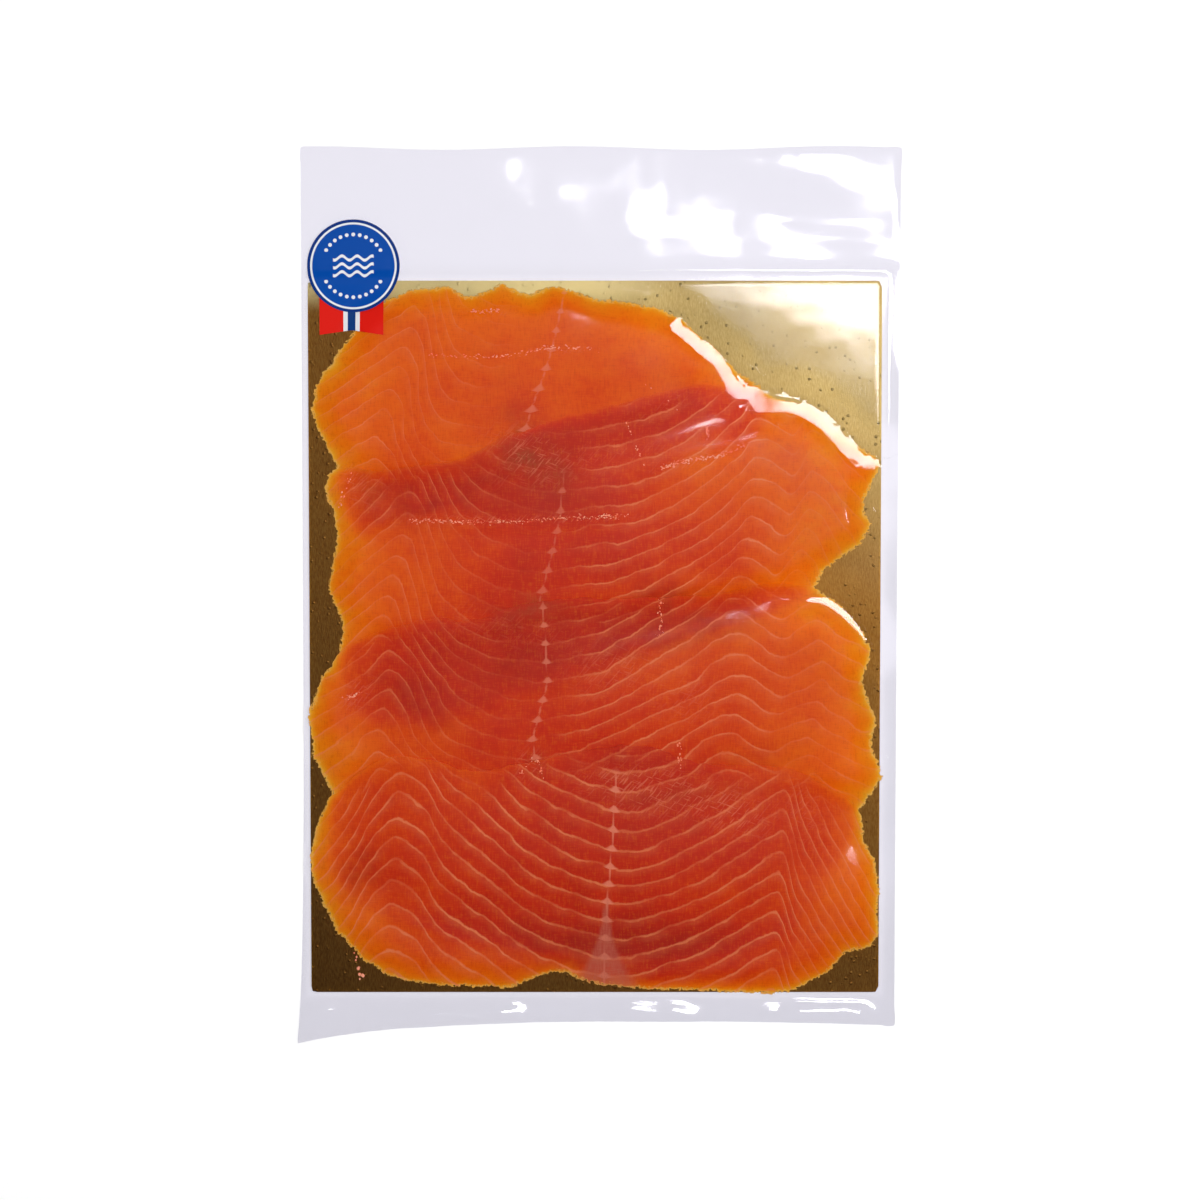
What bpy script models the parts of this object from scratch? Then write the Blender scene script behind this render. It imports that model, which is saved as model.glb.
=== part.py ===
"""Vacuum pack of smoked trout.

Four thin slices overlap like roof tiles on a gold card, which is sealed into a flat clear
pouch. A round sticker holds a short ribbon over the top left corner. The pack lies flat:
+X is its width, +Y its length and +Z is up, with the origin under the middle of its box.
Lengths are in metres.
"""

import math

import bmesh
import bpy
from mathutils import Matrix, Vector, noise

MM = 0.001

# Every piece that is laid on another keeps this much air under it.
AIR = 0.25 * MM

# The pouch: a back sheet whose margins are the welded edge of the bag.
SHEET = 0.3 * MM
POUCH_LEFT = -99.4 * MM
POUCH_RIGHT = 99.3 * MM
POUCH_TOP = 149.5 * MM
POUCH_BOTTOM = -143.3 * MM
# How far the corners stand out past the edges, which the vacuum draws in between them.
LEFT_CORNER_DROP = 7.2 * MM
LEFT_CORNER_SPREAD = 2.4 * MM
RIGHT_CORNER_DROP = 1.5 * MM
RIGHT_CORNER_SPREAD = 0.8 * MM
EDGE_WAVE = 0.6 * MM
EDGE_WAVES = 2.3
EDGE_WAVE_START = 0.2
# The margins' waves off the table: height, reach from the card's edge, and length of a wave.
FLAP_LIFT = 1.6 * MM
FLAP_REACH = 40 * MM
FLAP_WAVE = Vector((19 * MM, 14 * MM))
HEM_LIFT = 1.0 * MM
HEM_REACH = 12 * MM
HEM_WAVE = 9 * MM
SIDE_LIFT = 0.5 * MM
SIDE_REACH = 5 * MM
SIDE_WAVE = 11 * MM
# The sheet's grid, the part of it that the card covers, and the flat face that the pack rests on.
SHEET_COLUMNS = 28
SHEET_ROWS = 44
COVERED_COLUMNS = range(2, 26)
COVERED_ROWS = range(3, 37)
COVERED_WIDTH = (0.028, 0.955)
COVERED_LENGTH = (0.07, 0.838)
FOOT_INSET = 10 * MM
FOOT_HEIGHT = 0.12 * MM

# The card under the slices.
CARD_WIDTH = 191 * MM
CARD_LENGTH = 238.8 * MM
CARD_THICKNESS = 1.2 * MM
CARD_CENTRE_X = -1.7 * MM
CARD_CENTRE_Y = -13.8 * MM
CARD_CORNER = 1.2 * MM
CORNER_SEGMENTS = 3
CARD_BASE = SHEET + AIR
CARD_TOP = CARD_BASE + CARD_THICKNESS

# The lattice that all laid pieces share, so that their faces stay parallel.
CELL = 6.5 * MM
LATTICE_COLUMNS = 34
LATTICE_ROWS = 48
TOUCH = CELL * math.sqrt(2)
SLAB_HALF = 10 * MM
PRISM_HALF = 14 * MM
# Points this close are one.
SAME_PLACE = 0.08 * MM

# The slices: thick in the middle, thin and frayed along the edge.
SLICE_FULL = 2.7 * MM
SLICE_EDGE = 0.6 * MM
SLICE_TAPER = 17 * MM
SLICE_RELIEF = 0.3 * MM
SLICE_RELIEF_SIZE = 21 * MM
FRAY = 0.9 * MM
FRAY_SIZE = 5 * MM
FRAY_LAYER = 7.3
OUTLINE_STEP = 4.5 * MM

# Outlines in millimetres, clockwise from the left end of the upper edge.
SLICE_OUTLINES = {
    "slice_1": (
        (-88, 43.5), (-92.5, 51.5), (-96.5, 63), (-92.5, 74.5), (-84.5, 85.5), (-78, 94),
        (-67.5, 101), (-50, 104), (-43, 100), (-33, 105), (-23.5, 101), (-15.5, 104),
        (-1.5, 100), (24, 94.5), (45, 76.5), (55.5, 66.5), (48.5, 50.5), (30, 46),
        (15, 34.5), (-4.5, 25), (-63, 25.5), (-81, 21.5),
    ),
    "slice_2": (
        (-88, 43.5), (-72, 42.5), (-45.5, 47), (-31, 54), (4.5, 64.5), (35, 71),
        (61.5, 66.5), (73, 62), (81.5, 53.5), (93.5, 45.5), (88, 32), (90.5, 25), (86, 17),
        (75, 9), (71, 1), (48, -8), (10, -19), (-27, -32.5), (-57, -41.5), (-78.5, -41),
        (-87.5, -24), (-86.5, -7), (-91, 3), (-88, 22.5), (-92, 37.5),
    ),
    "slice_3": (
        (-90, -22.5), (-83.5, -15), (-59, -7), (-43, -7.5), (-20, -1), (30, 0.5), (61.5, 5),
        (78.5, -1), (88.5, -12), (91.5, -17.5), (88.5, -27.5), (92.5, -41.5), (91, -50),
        (94.5, -60.5), (88, -71), (79, -91), (54, -116), (0, -120.5), (-44, -114),
        (-85.5, -99), (-90.5, -66), (-96, -53.5), (-97.5, -38), (-93, -26.5),
    ),
    "slice_4": (
        (-90.5, -67.5), (-72, -53.5), (-53.5, -55), (-40.5, -58), (7.5, -49.5),
        (33.5, -55.5), (64, -57.5), (86.5, -70.5), (88.5, -81), (93, -88.5), (94, -103),
        (92.5, -116.5), (83.5, -120), (68.5, -131.5), (47, -133.5), (0, -131),
        (-11, -126.5), (-20, -127.5), (-31.5, -131.5), (-65.5, -129.5), (-82, -120),
        (-91, -108.5), (-97, -93), (-96.5, -80), (-93.5, -71.5),
    ),
}

# The sticker and the ribbon that it holds.
STICKER_RADIUS = 15.4 * MM
STICKER_X = -82 * MM
STICKER_Y = 110.5 * MM
STICKER_THICKNESS = 0.25 * MM
STICKER_SIDES = 48
RIBBON_WIDTH = 21.4 * MM
RIBBON_X = -82.6 * MM
RIBBON_HIDDEN_END = 112 * MM
RIBBON_FREE_END = 87.6 * MM
RIBBON_NOTCH = 1.6 * MM
RIBBON_THICKNESS = 0.25 * MM

# Colour, roughness and metallic value of each piece.
FINISHES = {
    "pouch": ((0.80, 0.78, 0.87), 0.15, 0.0),
    "card": ((0.62, 0.46, 0.16), 0.35, 0.9),
    "slice_1": ((0.74, 0.13, 0.01), 0.35, 0.0),
    "slice_2": ((0.70, 0.10, 0.01), 0.35, 0.0),
    "slice_3": ((0.68, 0.09, 0.01), 0.35, 0.0),
    "slice_4": ((0.72, 0.11, 0.01), 0.35, 0.0),
    "sticker": ((0.0, 0.10, 0.45), 0.30, 0.0),
    "ribbon": ((0.75, 0.02, 0.01), 0.30, 0.0),
}


# ---------------------------------------------------------------- small helpers

def smoothstep(value):
    value = min(max(value, 0.0), 1.0)
    return value * value * (3.0 - 2.0 * value)


def mix(low, high, share):
    return low + (high - low) * share


def make_collection(name):
    collection = bpy.data.collections.new(name)
    bpy.context.scene.collection.children.link(collection)
    return collection


def make_material(name):
    colour, roughness, metallic = FINISHES[name]
    material = bpy.data.materials.new(name)
    material.use_nodes = True
    shader = material.node_tree.nodes["Principled BSDF"]
    shader.inputs["Base Color"].default_value = (*colour, 1.0)
    shader.inputs["Roughness"].default_value = roughness
    shader.inputs["Metallic"].default_value = metallic
    return material


def make_object(name, bm, collection):
    mesh = bpy.data.meshes.new(name)
    bm.to_mesh(mesh)
    bm.free()
    obj = bpy.data.objects.new(name, mesh)
    collection.objects.link(obj)
    if name in FINISHES:
        mesh.materials.append(make_material(name))
    return obj


# ---------------------------------------------------------------- the pouch

def pouch_place(across, up):
    """Place on the pouch of a point at these shares of its width and length."""
    left = POUCH_LEFT - LEFT_CORNER_SPREAD * (1 - up) ** 8
    right = POUCH_RIGHT + RIGHT_CORNER_SPREAD * up ** 3
    bottom = POUCH_BOTTOM - LEFT_CORNER_DROP * (1 - across) ** 6 - RIGHT_CORNER_DROP * across ** 8
    top = POUCH_TOP + EDGE_WAVE * math.sin(math.tau * (EDGE_WAVES * across + EDGE_WAVE_START))
    return mix(left, right, across), mix(bottom, top, up)


def ripple(angle):
    """A wave between 0 and 1."""
    return 0.5 + 0.5 * math.sin(angle)


def lift(x, y):
    """Height of the sheet off the table outside its flat foot: the welded margin waves."""
    beyond_top = y - (CARD_CENTRE_Y + CARD_LENGTH / 2)
    beyond_bottom = (CARD_CENTRE_Y - CARD_LENGTH / 2) - y
    beyond_side = abs(x - CARD_CENTRE_X) - CARD_WIDTH / 2
    flap = FLAP_LIFT * smoothstep(beyond_top / FLAP_REACH)
    hem = HEM_LIFT * smoothstep(beyond_bottom / HEM_REACH)
    side = SIDE_LIFT * smoothstep(beyond_side / SIDE_REACH)
    return (FOOT_HEIGHT + flap * ripple(x / FLAP_WAVE.x + y / FLAP_WAVE.y)
            + hem * ripple(x / HEM_WAVE)
            + side * ripple(y / SIDE_WAVE))


def make_pouch(collection):
    """A grid stretched to the bag's outline, a flat foot under the card, then given thickness."""
    bm = bmesh.new()
    bmesh.ops.create_grid(bm, x_segments=SHEET_COLUMNS, y_segments=SHEET_ROWS, size=0.5)
    covered = []
    for face in bm.faces:
        middle = face.calc_center_median()
        column = math.floor((middle.x + 0.5) * SHEET_COLUMNS)
        row = math.floor((middle.y + 0.5) * SHEET_ROWS)
        if column in COVERED_COLUMNS and row in COVERED_ROWS:
            covered.append(face)
    bmesh.ops.delete(bm, geom=covered, context="FACES")
    for vert in bm.verts:
        across = margin_spacing(vert.co.x + 0.5, COVERED_COLUMNS, SHEET_COLUMNS, COVERED_WIDTH)
        up = margin_spacing(vert.co.y + 0.5, COVERED_ROWS, SHEET_ROWS, COVERED_LENGTH)
        x, y = pouch_place(across, up)
        vert.co = (x, y, lift(x, y))
    rim = [edge for edge in bm.edges if edge.is_boundary and over_card(edge)]
    foot_size = Vector((CARD_WIDTH - 2 * FOOT_INSET, CARD_LENGTH - 2 * FOOT_INSET, 1.0, 1.0))
    foot_place = Matrix.Translation((CARD_CENTRE_X, CARD_CENTRE_Y, 0.0)) @ Matrix.Diagonal(foot_size)
    foot = bmesh.ops.create_grid(bm, x_segments=1, y_segments=1, size=0.5, matrix=foot_place)
    foot_edges = list({edge for vert in foot["verts"] for edge in vert.link_edges})
    bmesh.ops.bridge_loops(bm, edges=rim + foot_edges)
    bmesh.ops.recalc_face_normals(bm, faces=bm.faces[:])
    if sum(face.normal.z for face in bm.faces) < 0:
        bmesh.ops.reverse_faces(bm, faces=bm.faces[:])
    pouch = make_object("pouch", bm, collection)
    thickness = pouch.modifiers.new("thickness", "SOLIDIFY")
    thickness.thickness = SHEET
    thickness.offset = 1.0
    return pouch


def over_card(edge):
    """Whether an edge lies inside the card's outline, as the hole's rim does."""
    middle = (edge.verts[0].co + edge.verts[1].co) / 2
    return (abs(middle.x - CARD_CENTRE_X) < CARD_WIDTH / 2
            and abs(middle.y - CARD_CENTRE_Y) < CARD_LENGTH / 2)


def margin_spacing(share, covered, count, covered_shares):
    """Moves the grid's lines so that the covered part lies inside the card's outline."""
    first = covered.start / count
    last = covered.stop / count
    low, high = covered_shares
    if share < first:
        return low * share / first
    if share > last:
        return mix(high, 1.0, (share - last) / (1.0 - last))
    return mix(low, high, (share - first) / (last - first))


# ---------------------------------------------------------------- the card

def make_card(collection):
    bpy.ops.mesh.primitive_cube_add(size=1.0)
    card = bpy.context.object
    card.name = "card"
    card.data.name = "card"
    card.data.materials.append(make_material("card"))
    card.data.transform(Matrix.Diagonal((CARD_WIDTH, CARD_LENGTH, CARD_THICKNESS, 1.0)))
    card.location = (CARD_CENTRE_X, CARD_CENTRE_Y, CARD_BASE + CARD_THICKNESS / 2)
    for owner in card.users_collection:
        owner.objects.unlink(card)
    collection.objects.link(card)
    corners = card.data.attributes.new("bevel_weight_edge", "FLOAT", "EDGE")
    for edge in card.data.edges:
        first, second = (card.data.vertices[i].co for i in edge.vertices)
        upright = abs(first.z - second.z) > CARD_THICKNESS / 2
        corners.data[edge.index].value = 1.0 if upright else 0.0
    rounding = card.modifiers.new("corners", "BEVEL")
    rounding.limit_method = "WEIGHT"
    rounding.width = CARD_CORNER
    rounding.segments = CORNER_SEGMENTS
    return card


# ---------------------------------------------------------------- the lattice

class Lattice:
    """Heights at the nodes of a square grid whose cells are split into two triangles."""

    def __init__(self):
        self.pile = {}
        for column in range(LATTICE_COLUMNS + 1):
            for row in range(LATTICE_ROWS + 1):
                self.pile[column, row] = self.bare_height(*self.place(column, row))

    def place(self, column, row):
        return (column - LATTICE_COLUMNS / 2) * CELL, (row - LATTICE_ROWS / 2) * CELL

    def bare_height(self, x, y):
        """Top of the card, or of the pouch's margin more than a cell away from the card."""
        past_x = abs(x - CARD_CENTRE_X) - CARD_WIDTH / 2
        past_y = abs(y - CARD_CENTRE_Y) - CARD_LENGTH / 2
        if max(past_x, past_y) < TOUCH:
            return CARD_TOP
        return lift(x, y) + SHEET + AIR

    def height(self, field, x, y):
        """Height at a point, linear in each of the two triangles of its cell."""
        across = x / CELL + LATTICE_COLUMNS / 2
        up = y / CELL + LATTICE_ROWS / 2
        column = min(max(math.floor(across), 0), LATTICE_COLUMNS - 1)
        row = min(max(math.floor(up), 0), LATTICE_ROWS - 1)
        across -= column
        up -= row
        low_left = field[column, row]
        low_right = field[column + 1, row]
        high_left = field[column, row + 1]
        high_right = field[column + 1, row + 1]
        if across >= up:
            return low_left + (low_right - low_left) * across + (high_right - low_right) * up
        return low_left + (high_left - low_left) * up + (high_right - high_left) * across

    def nearest(self, x, y):
        return (round(x / CELL + LATTICE_COLUMNS / 2), round(y / CELL + LATTICE_ROWS / 2))

    def slab(self):
        """The whole grid as a slab of triangles, to be cut to each outline."""
        bm = bmesh.new()
        bmesh.ops.create_grid(bm, x_segments=LATTICE_COLUMNS, y_segments=LATTICE_ROWS, size=0.5)
        for vert in bm.verts:
            vert.co.x *= LATTICE_COLUMNS * CELL
            vert.co.y *= LATTICE_ROWS * CELL
            vert.co.z = -SLAB_HALF
        for face in list(bm.faces):
            corners = sorted(face.verts, key=lambda vert: vert.co.x + vert.co.y)
            bmesh.utils.face_split(face, corners[0], corners[-1])
        top = bmesh.ops.extrude_face_region(bm, geom=bm.faces[:])
        raised = [item for item in top["geom"] if isinstance(item, bmesh.types.BMVert)]
        bmesh.ops.translate(bm, verts=raised, vec=(0, 0, 2 * SLAB_HALF))
        bmesh.ops.recalc_face_normals(bm, faces=bm.faces[:])
        return bm


# ---------------------------------------------------------------- outlines

def smooth_loop(points, step):
    """Closed curve through the points, read about every step along it."""
    loop = []
    count = len(points)
    for index in range(count):
        before, start, end, after = (points[(index + k - 1) % count] for k in range(4))
        pieces = max(1, round((end - start).length / step))
        for piece in range(pieces):
            t = piece / pieces
            loop.append(0.5 * (2 * start + (end - before) * t
                               + (2 * before - 5 * start + 4 * end - after) * t * t
                               + (3 * start - before - 3 * end + after) * t ** 3))
    return loop


def fray(loop, name):
    """Moves each point in or out a little, as the edge of a cut slice is ragged."""
    frayed = []
    count = len(loop)
    layer = FRAY_LAYER * list(SLICE_OUTLINES).index(name)
    for index, point in enumerate(loop):
        along = (loop[(index + 1) % count] - loop[index - 1]).normalized()
        outward = Vector((-along.y, along.x))
        place = Vector((point.x / FRAY_SIZE, point.y / FRAY_SIZE, layer))
        frayed.append(point + outward * FRAY * noise.noise(place))
    return frayed


def slice_loop(name):
    points = [Vector((x * MM, y * MM)) for x, y in SLICE_OUTLINES[name]]
    return fray(smooth_loop(points, OUTLINE_STEP), name)


def sticker_loop():
    loop = []
    for index in range(STICKER_SIDES):
        angle = -math.tau * index / STICKER_SIDES
        x = STICKER_X + STICKER_RADIUS * math.cos(angle)
        y = STICKER_Y + STICKER_RADIUS * math.sin(angle)
        loop.append(Vector((x, y)))
    return loop


def ribbon_loop():
    half = RIBBON_WIDTH / 2
    return [
        Vector((RIBBON_X - half, RIBBON_FREE_END)),
        Vector((RIBBON_X - half, RIBBON_HIDDEN_END)),
        Vector((RIBBON_X + half, RIBBON_HIDDEN_END)),
        Vector((RIBBON_X + half, RIBBON_FREE_END)),
        Vector((RIBBON_X, RIBBON_FREE_END + RIBBON_NOTCH)),
    ]


def depth_inside(loop, x, y):
    """Distance from the outline, positive inside it and negative outside."""
    point = Vector((x, y))
    nearest = math.inf
    inside = False
    for index, end in enumerate(loop):
        start = loop[index - 1]
        span = end - start
        share = min(max((point - start).dot(span) / span.length_squared, 0.0), 1.0)
        nearest = min(nearest, (start + span * share - point).length)
        if (start.y > y) != (end.y > y):
            if x < start.x + (y - start.y) / (end.y - start.y) * (end.x - start.x):
                inside = not inside
    return nearest if inside else -nearest


# ---------------------------------------------------------------- laid pieces

def make_prism(name, loop, cutters):
    """The outline as an upright prism, from a filled curve."""
    curve = bpy.data.curves.new(name, "CURVE")
    curve.dimensions = "2D"
    curve.fill_mode = "BOTH"
    curve.extrude = PRISM_HALF
    spline = curve.splines.new("POLY")
    spline.points.add(len(loop) - 1)
    spline.use_cyclic_u = True
    for spline_point, point in zip(spline.points, loop):
        spline_point.co = (point.x, point.y, 0.0, 1.0)
    flat = bpy.data.objects.new(name, curve)
    cutters.objects.link(flat)
    mesh = bpy.data.meshes.new_from_object(flat.evaluated_get(bpy.context.evaluated_depsgraph_get()))
    bpy.data.objects.remove(flat)
    bm = bmesh.new()
    bm.from_mesh(mesh)
    bmesh.ops.remove_doubles(bm, verts=bm.verts[:], dist=SAME_PLACE / 10)
    bmesh.ops.recalc_face_normals(bm, faces=bm.faces[:])
    prism = make_object(name + "_outline", bm, cutters)
    prism.hide_render = True
    prism.display_type = "WIRE"
    return prism


def cut_slab(name, prism, lattice, cutters):
    """The part of the slab inside the prism, as an editable mesh."""
    slab = make_object(name + "_slab", lattice.slab(), cutters)
    cut = slab.modifiers.new("outline", "BOOLEAN")
    cut.operation = "INTERSECT"
    cut.object = prism
    bpy.context.view_layer.update()
    mesh = bpy.data.meshes.new_from_object(slab.evaluated_get(bpy.context.evaluated_depsgraph_get()))
    bpy.data.objects.remove(slab)
    bpy.data.objects.remove(prism)
    bm = bmesh.new()
    bm.from_mesh(mesh)
    bmesh.ops.remove_doubles(bm, verts=bm.verts[:], dist=SAME_PLACE)
    bmesh.ops.dissolve_degenerate(bm, edges=bm.edges[:], dist=SAME_PLACE / 10)
    return bm


def lay_piece(name, loop, lattice, thickness_at, edge, collections):
    """Cuts a piece from the slab and drapes it over what already lies there."""
    under = {}
    over = {}
    for node, pile in lattice.pile.items():
        x, y = lattice.place(*node)
        depth = depth_inside(loop, x, y)
        under[node] = pile + AIR
        over[node] = under[node] + (thickness_at(x, y, depth) if depth > 0 else edge)
        if depth > -TOUCH:
            lattice.pile[node] = over[node]
    parts, cutters = collections
    bm = cut_slab(name, make_prism(name, loop, cutters), lattice, cutters)
    for vert in bm.verts:
        base = lattice.height(under, vert.co.x, vert.co.y)
        if vert.co.z < 0:
            vert.co.z = base
            continue
        node = lattice.nearest(vert.co.x, vert.co.y)
        node_x, node_y = lattice.place(*node)
        on_node = math.hypot(vert.co.x - node_x, vert.co.y - node_y) < SAME_PLACE
        vert.co.z = over[node] if on_node else base + edge
    bmesh.ops.triangulate(bm, faces=bm.faces[:])
    bmesh.ops.recalc_face_normals(bm, faces=bm.faces[:])
    return make_object(name, bm, parts)


def slice_thickness(x, y, depth):
    """Full in the middle, thin at the edge, with the soft swell of the flesh."""
    place = Vector((x / SLICE_RELIEF_SIZE, y / SLICE_RELIEF_SIZE, 0.0))
    swell = SLICE_RELIEF * noise.noise(place)
    share = smoothstep(depth / SLICE_TAPER)
    return mix(SLICE_EDGE, SLICE_FULL + swell, share)


def even_thickness(thickness):
    return lambda x, y, depth: thickness


# ---------------------------------------------------------------- the pack

def centre_on_origin(objects):
    """Moves the pieces together, so that the box of all stands centred on the origin."""
    bpy.context.view_layer.update()
    graph = bpy.context.evaluated_depsgraph_get()
    corners = []
    for obj in objects:
        shape = obj.evaluated_get(graph)
        corners += [shape.matrix_world @ Vector(corner) for corner in shape.bound_box]
    middle = Vector((0.0, 0.0, 0.0))
    for axis in (0, 1):
        places = [corner[axis] for corner in corners]
        middle[axis] = (min(places) + max(places)) / 2
    for obj in objects:
        obj.location -= middle


def main():
    for obj in list(bpy.data.objects):
        bpy.data.objects.remove(obj)
    parts = make_collection("smoked_trout_pack")
    cutters = make_collection("cutters")
    collections = (parts, cutters)
    lattice = Lattice()
    make_pouch(parts)
    make_card(parts)
    for name in SLICE_OUTLINES:
        lay_piece(name, slice_loop(name), lattice, slice_thickness, SLICE_EDGE, collections)
    for name, loop, thickness in (
        ("ribbon", ribbon_loop(), RIBBON_THICKNESS),
        ("sticker", sticker_loop(), STICKER_THICKNESS),
    ):
        lay_piece(name, loop, lattice, even_thickness(thickness), thickness, collections)
    centre_on_origin(list(parts.objects))


main()
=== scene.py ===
"""Looks of the vacuum pack of smoked trout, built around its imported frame.

The pack lies flat with its shown side up. Places on it are measured in millimetres from the
middle of the gold card, across and up, and place() turns them into metres in the frame.
"""
import math

import bmesh
import bpy
import numpy as np
from mathutils import Matrix, Vector, noise
from mathutils.bvhtree import BVHTree


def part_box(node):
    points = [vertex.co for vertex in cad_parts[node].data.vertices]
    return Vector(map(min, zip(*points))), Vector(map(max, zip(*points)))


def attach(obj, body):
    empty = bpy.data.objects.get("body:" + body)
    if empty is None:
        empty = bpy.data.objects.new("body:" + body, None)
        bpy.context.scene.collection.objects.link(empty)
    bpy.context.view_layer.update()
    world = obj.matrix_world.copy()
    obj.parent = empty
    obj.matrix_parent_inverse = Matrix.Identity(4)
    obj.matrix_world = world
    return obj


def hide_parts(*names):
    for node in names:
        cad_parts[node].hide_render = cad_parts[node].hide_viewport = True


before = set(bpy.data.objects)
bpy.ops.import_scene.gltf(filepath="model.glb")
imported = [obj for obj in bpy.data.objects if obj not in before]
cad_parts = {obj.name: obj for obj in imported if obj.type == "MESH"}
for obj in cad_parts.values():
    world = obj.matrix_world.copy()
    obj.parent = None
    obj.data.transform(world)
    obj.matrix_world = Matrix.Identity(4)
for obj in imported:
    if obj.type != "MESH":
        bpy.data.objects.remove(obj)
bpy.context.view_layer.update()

MM = 0.001
CARD_LOW, CARD_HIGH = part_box("card")
CARD_MIDDLE = (np.array(CARD_LOW) + np.array(CARD_HIGH))[:2] / 2
CARD_HALF = (np.array(CARD_HIGH) - np.array(CARD_LOW))[:2] / 2
# Points nearer than this are one, and a face whose normal rises past this is an upper one.
MERGE_GAP = 0.004 * MM
UPPER_FACE = 0.2

# ---------------------------------------------------------------- sizes

# The slices, in the order in which they were laid.
SLICES = ("slice_1", "slice_2", "slice_3", "slice_4")
SLICE_FULL = 2.7 * MM
SLICE_EDGE = 0.25 * MM
LAP_TAPER = 34 * MM
RIM_TAPER = 8 * MM
LAP_PRESS = 0.6
SLICE_SWELL = 0.12 * MM
THIN_RIM = 1.5 * MM
THIN_FIELD = 13 * MM
OUTLINE_STEP = 0.7 * MM
PRESS_REACH = 7 * MM
LAP_REACH = 4 * MM
RIM_BLUR = 1.2 * MM
SLICE_DRAPE = 2.2 * MM
SLICE_GAP = 0.04 * MM
# How a cut edge frays: length of the tears and how far they reach, coarse and fine.
COARSE_TEARS = (3.1 * MM, 0.55 * MM)
FINE_TEARS = (1.1 * MM, 0.4 * MM)
SHARP_EDGE = math.radians(50)

# The seam down the middle of each fillet: places from its upper to its lower end.
SEPTA = {
    "slice_1": ((-9.6, 118), (-10.6, 113), (-13.9, 98), (-16.6, 89), (-20, 80), (-24.3, 66.5)),
    "slice_2": ((-10.5, 56), (-10.6, 53), (-11.7, 40), (-15, 26), (-18.4, 13), (-20.7, 4.6)),
    "slice_3": ((-17.4, 13), (-16.7, 0), (-15.7, -14), (-18.4, -24), (-21.1, -34), (-17, -53)),
    "slice_4": ((7.1, -44), (6.1, -65), (5.1, -77), (4.1, -89), (3.7, -96), (3, -119)),
}
# How high each fat line stands over its crossing of the seam, at distances across from it.
FAT_RISE = {
    "slice_1": (
        (-79, 8), (-70.3, 16.3), (-61.5, 25.2), (-54.5, 31.4), (-49.2, 35.4), (-45.5, 32),
        (-42.1, 26.6), (-40, 19.7), (-36.6, 13), (-33.1, 7.4), (-27.8, 3.3), (-20.8, 1.2),
        (0, 0), (20, 3), (38, 12), (56, 25), (64, 28), (78, 21), (95, 8),
    ),
    "slice_2": (
        (-80, 11), (-70, 21), (-63.8, 28.5), (-58.3, 34.6), (-51.5, 40.8), (-47.4, 38.5),
        (-45.3, 33.6), (-41.9, 27.5), (-39.2, 22), (-35.1, 15.2), (-31.1, 11.1),
        (-25.5, 7), (-18.7, 3.7), (-10.5, 1), (0, 0), (22.2, 4), (36.4, 9.6), (44.1, 14.4),
        (51.5, 19.7), (59.9, 27.3), (62.5, 32.1), (67.9, 31.4), (72.8, 28), (77, 25.5),
        (82.3, 36), (88, 32), (93.6, 24.6), (101, 17), (108, 8),
    ),
    "slice_3": (
        (-80, 17), (-65, 25), (-60.5, 28), (-56, 34.5), (-52.8, 37.1), (-49.2, 34.8),
        (-45.1, 30), (-42.5, 25.7), (-40.3, 21.7), (-37.5, 18.4), (-33.4, 12.2), (-29.4, 8),
        (-24.6, 5.3), (-19.7, 2.7), (-13, 0.7), (0, 0), (17, 3.3), (29.4, 9.6),
        (39.5, 15.7), (49.8, 20.4), (56.7, 26), (62.2, 28.7), (66.2, 28.7), (70.2, 26.6),
        (74.4, 23.2), (80, 21), (87, 24.5), (92, 27), (98, 21.7), (104, 19), (110, 15),
    ),
    "slice_4": (
        (-102, 8), (-92, 21), (-88.6, 26.8), (-85.3, 32), (-82.6, 39), (-78.6, 45),
        (-72.9, 50.5), (-68.2, 48.2), (-63.2, 44.5), (-58, 35), (-53.8, 30.8), (-47.8, 26.8),
        (-39, 20.4), (-30, 12.4), (-20, 6.5), (-10, 2.5), (0, 0), (8.3, 0.2), (15, 2),
        (22, 4.4), (32.8, 9.2), (44.5, 16.7), (51.3, 21.4), (57.1, 24.9), (59.2, 21.5),
        (60.5, 16.7), (62.9, 9.2), (67, 3.1), (71, -3.8), (80, -16), (92, -33),
    ),
}
# Each slice's fat lines: where one crosses the seam, their spacing there, and how their rise
# grows with the place of the crossing.
FAT_CROSSING = {"slice_1": 62.8, "slice_2": 1.6, "slice_3": -46.5, "slice_4": -95.5}
FAT_SPACING = {"slice_1": 6.6, "slice_2": 6.7, "slice_3": 6.3, "slice_4": 6.2}
FAT_GROWTH = {"slice_1": 0.003, "slice_2": 0.0, "slice_3": 0.0015, "slice_4": 0.0035}
PEAK_ROUNDING = 1.0
# How strong the fat lines are at distances across from the seam.
FAT_STRENGTH = {
    "slice_1": ((-90, 0.6), (-45, 0.6), (-22, 0.25), (-10, 0.0), (30, 0.0), (70, 0.15)),
    "slice_2": ((-80, 0.6), (-45, 0.6), (-18, 0.2), (-8, 0.1), (4, 0.1), (16, 0.75), (60, 1.0),
                (74, 0.9), (79, 0.35), (100, 0.35)),
    "slice_3": ((-80, 0.6), (-45, 0.6), (-18, 0.25), (-8, 0.15), (4, 0.15), (16, 0.75),
                (64, 0.95), (76, 0.8), (82, 0.35), (100, 0.45)),
    "slice_4": ((-100, 0.7), (-70, 0.9), (-40, 1.0), (-3, 0.9), (3, 0.75), (60, 0.85),
                (66, 0.6), (90, 0.6)),
}
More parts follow.
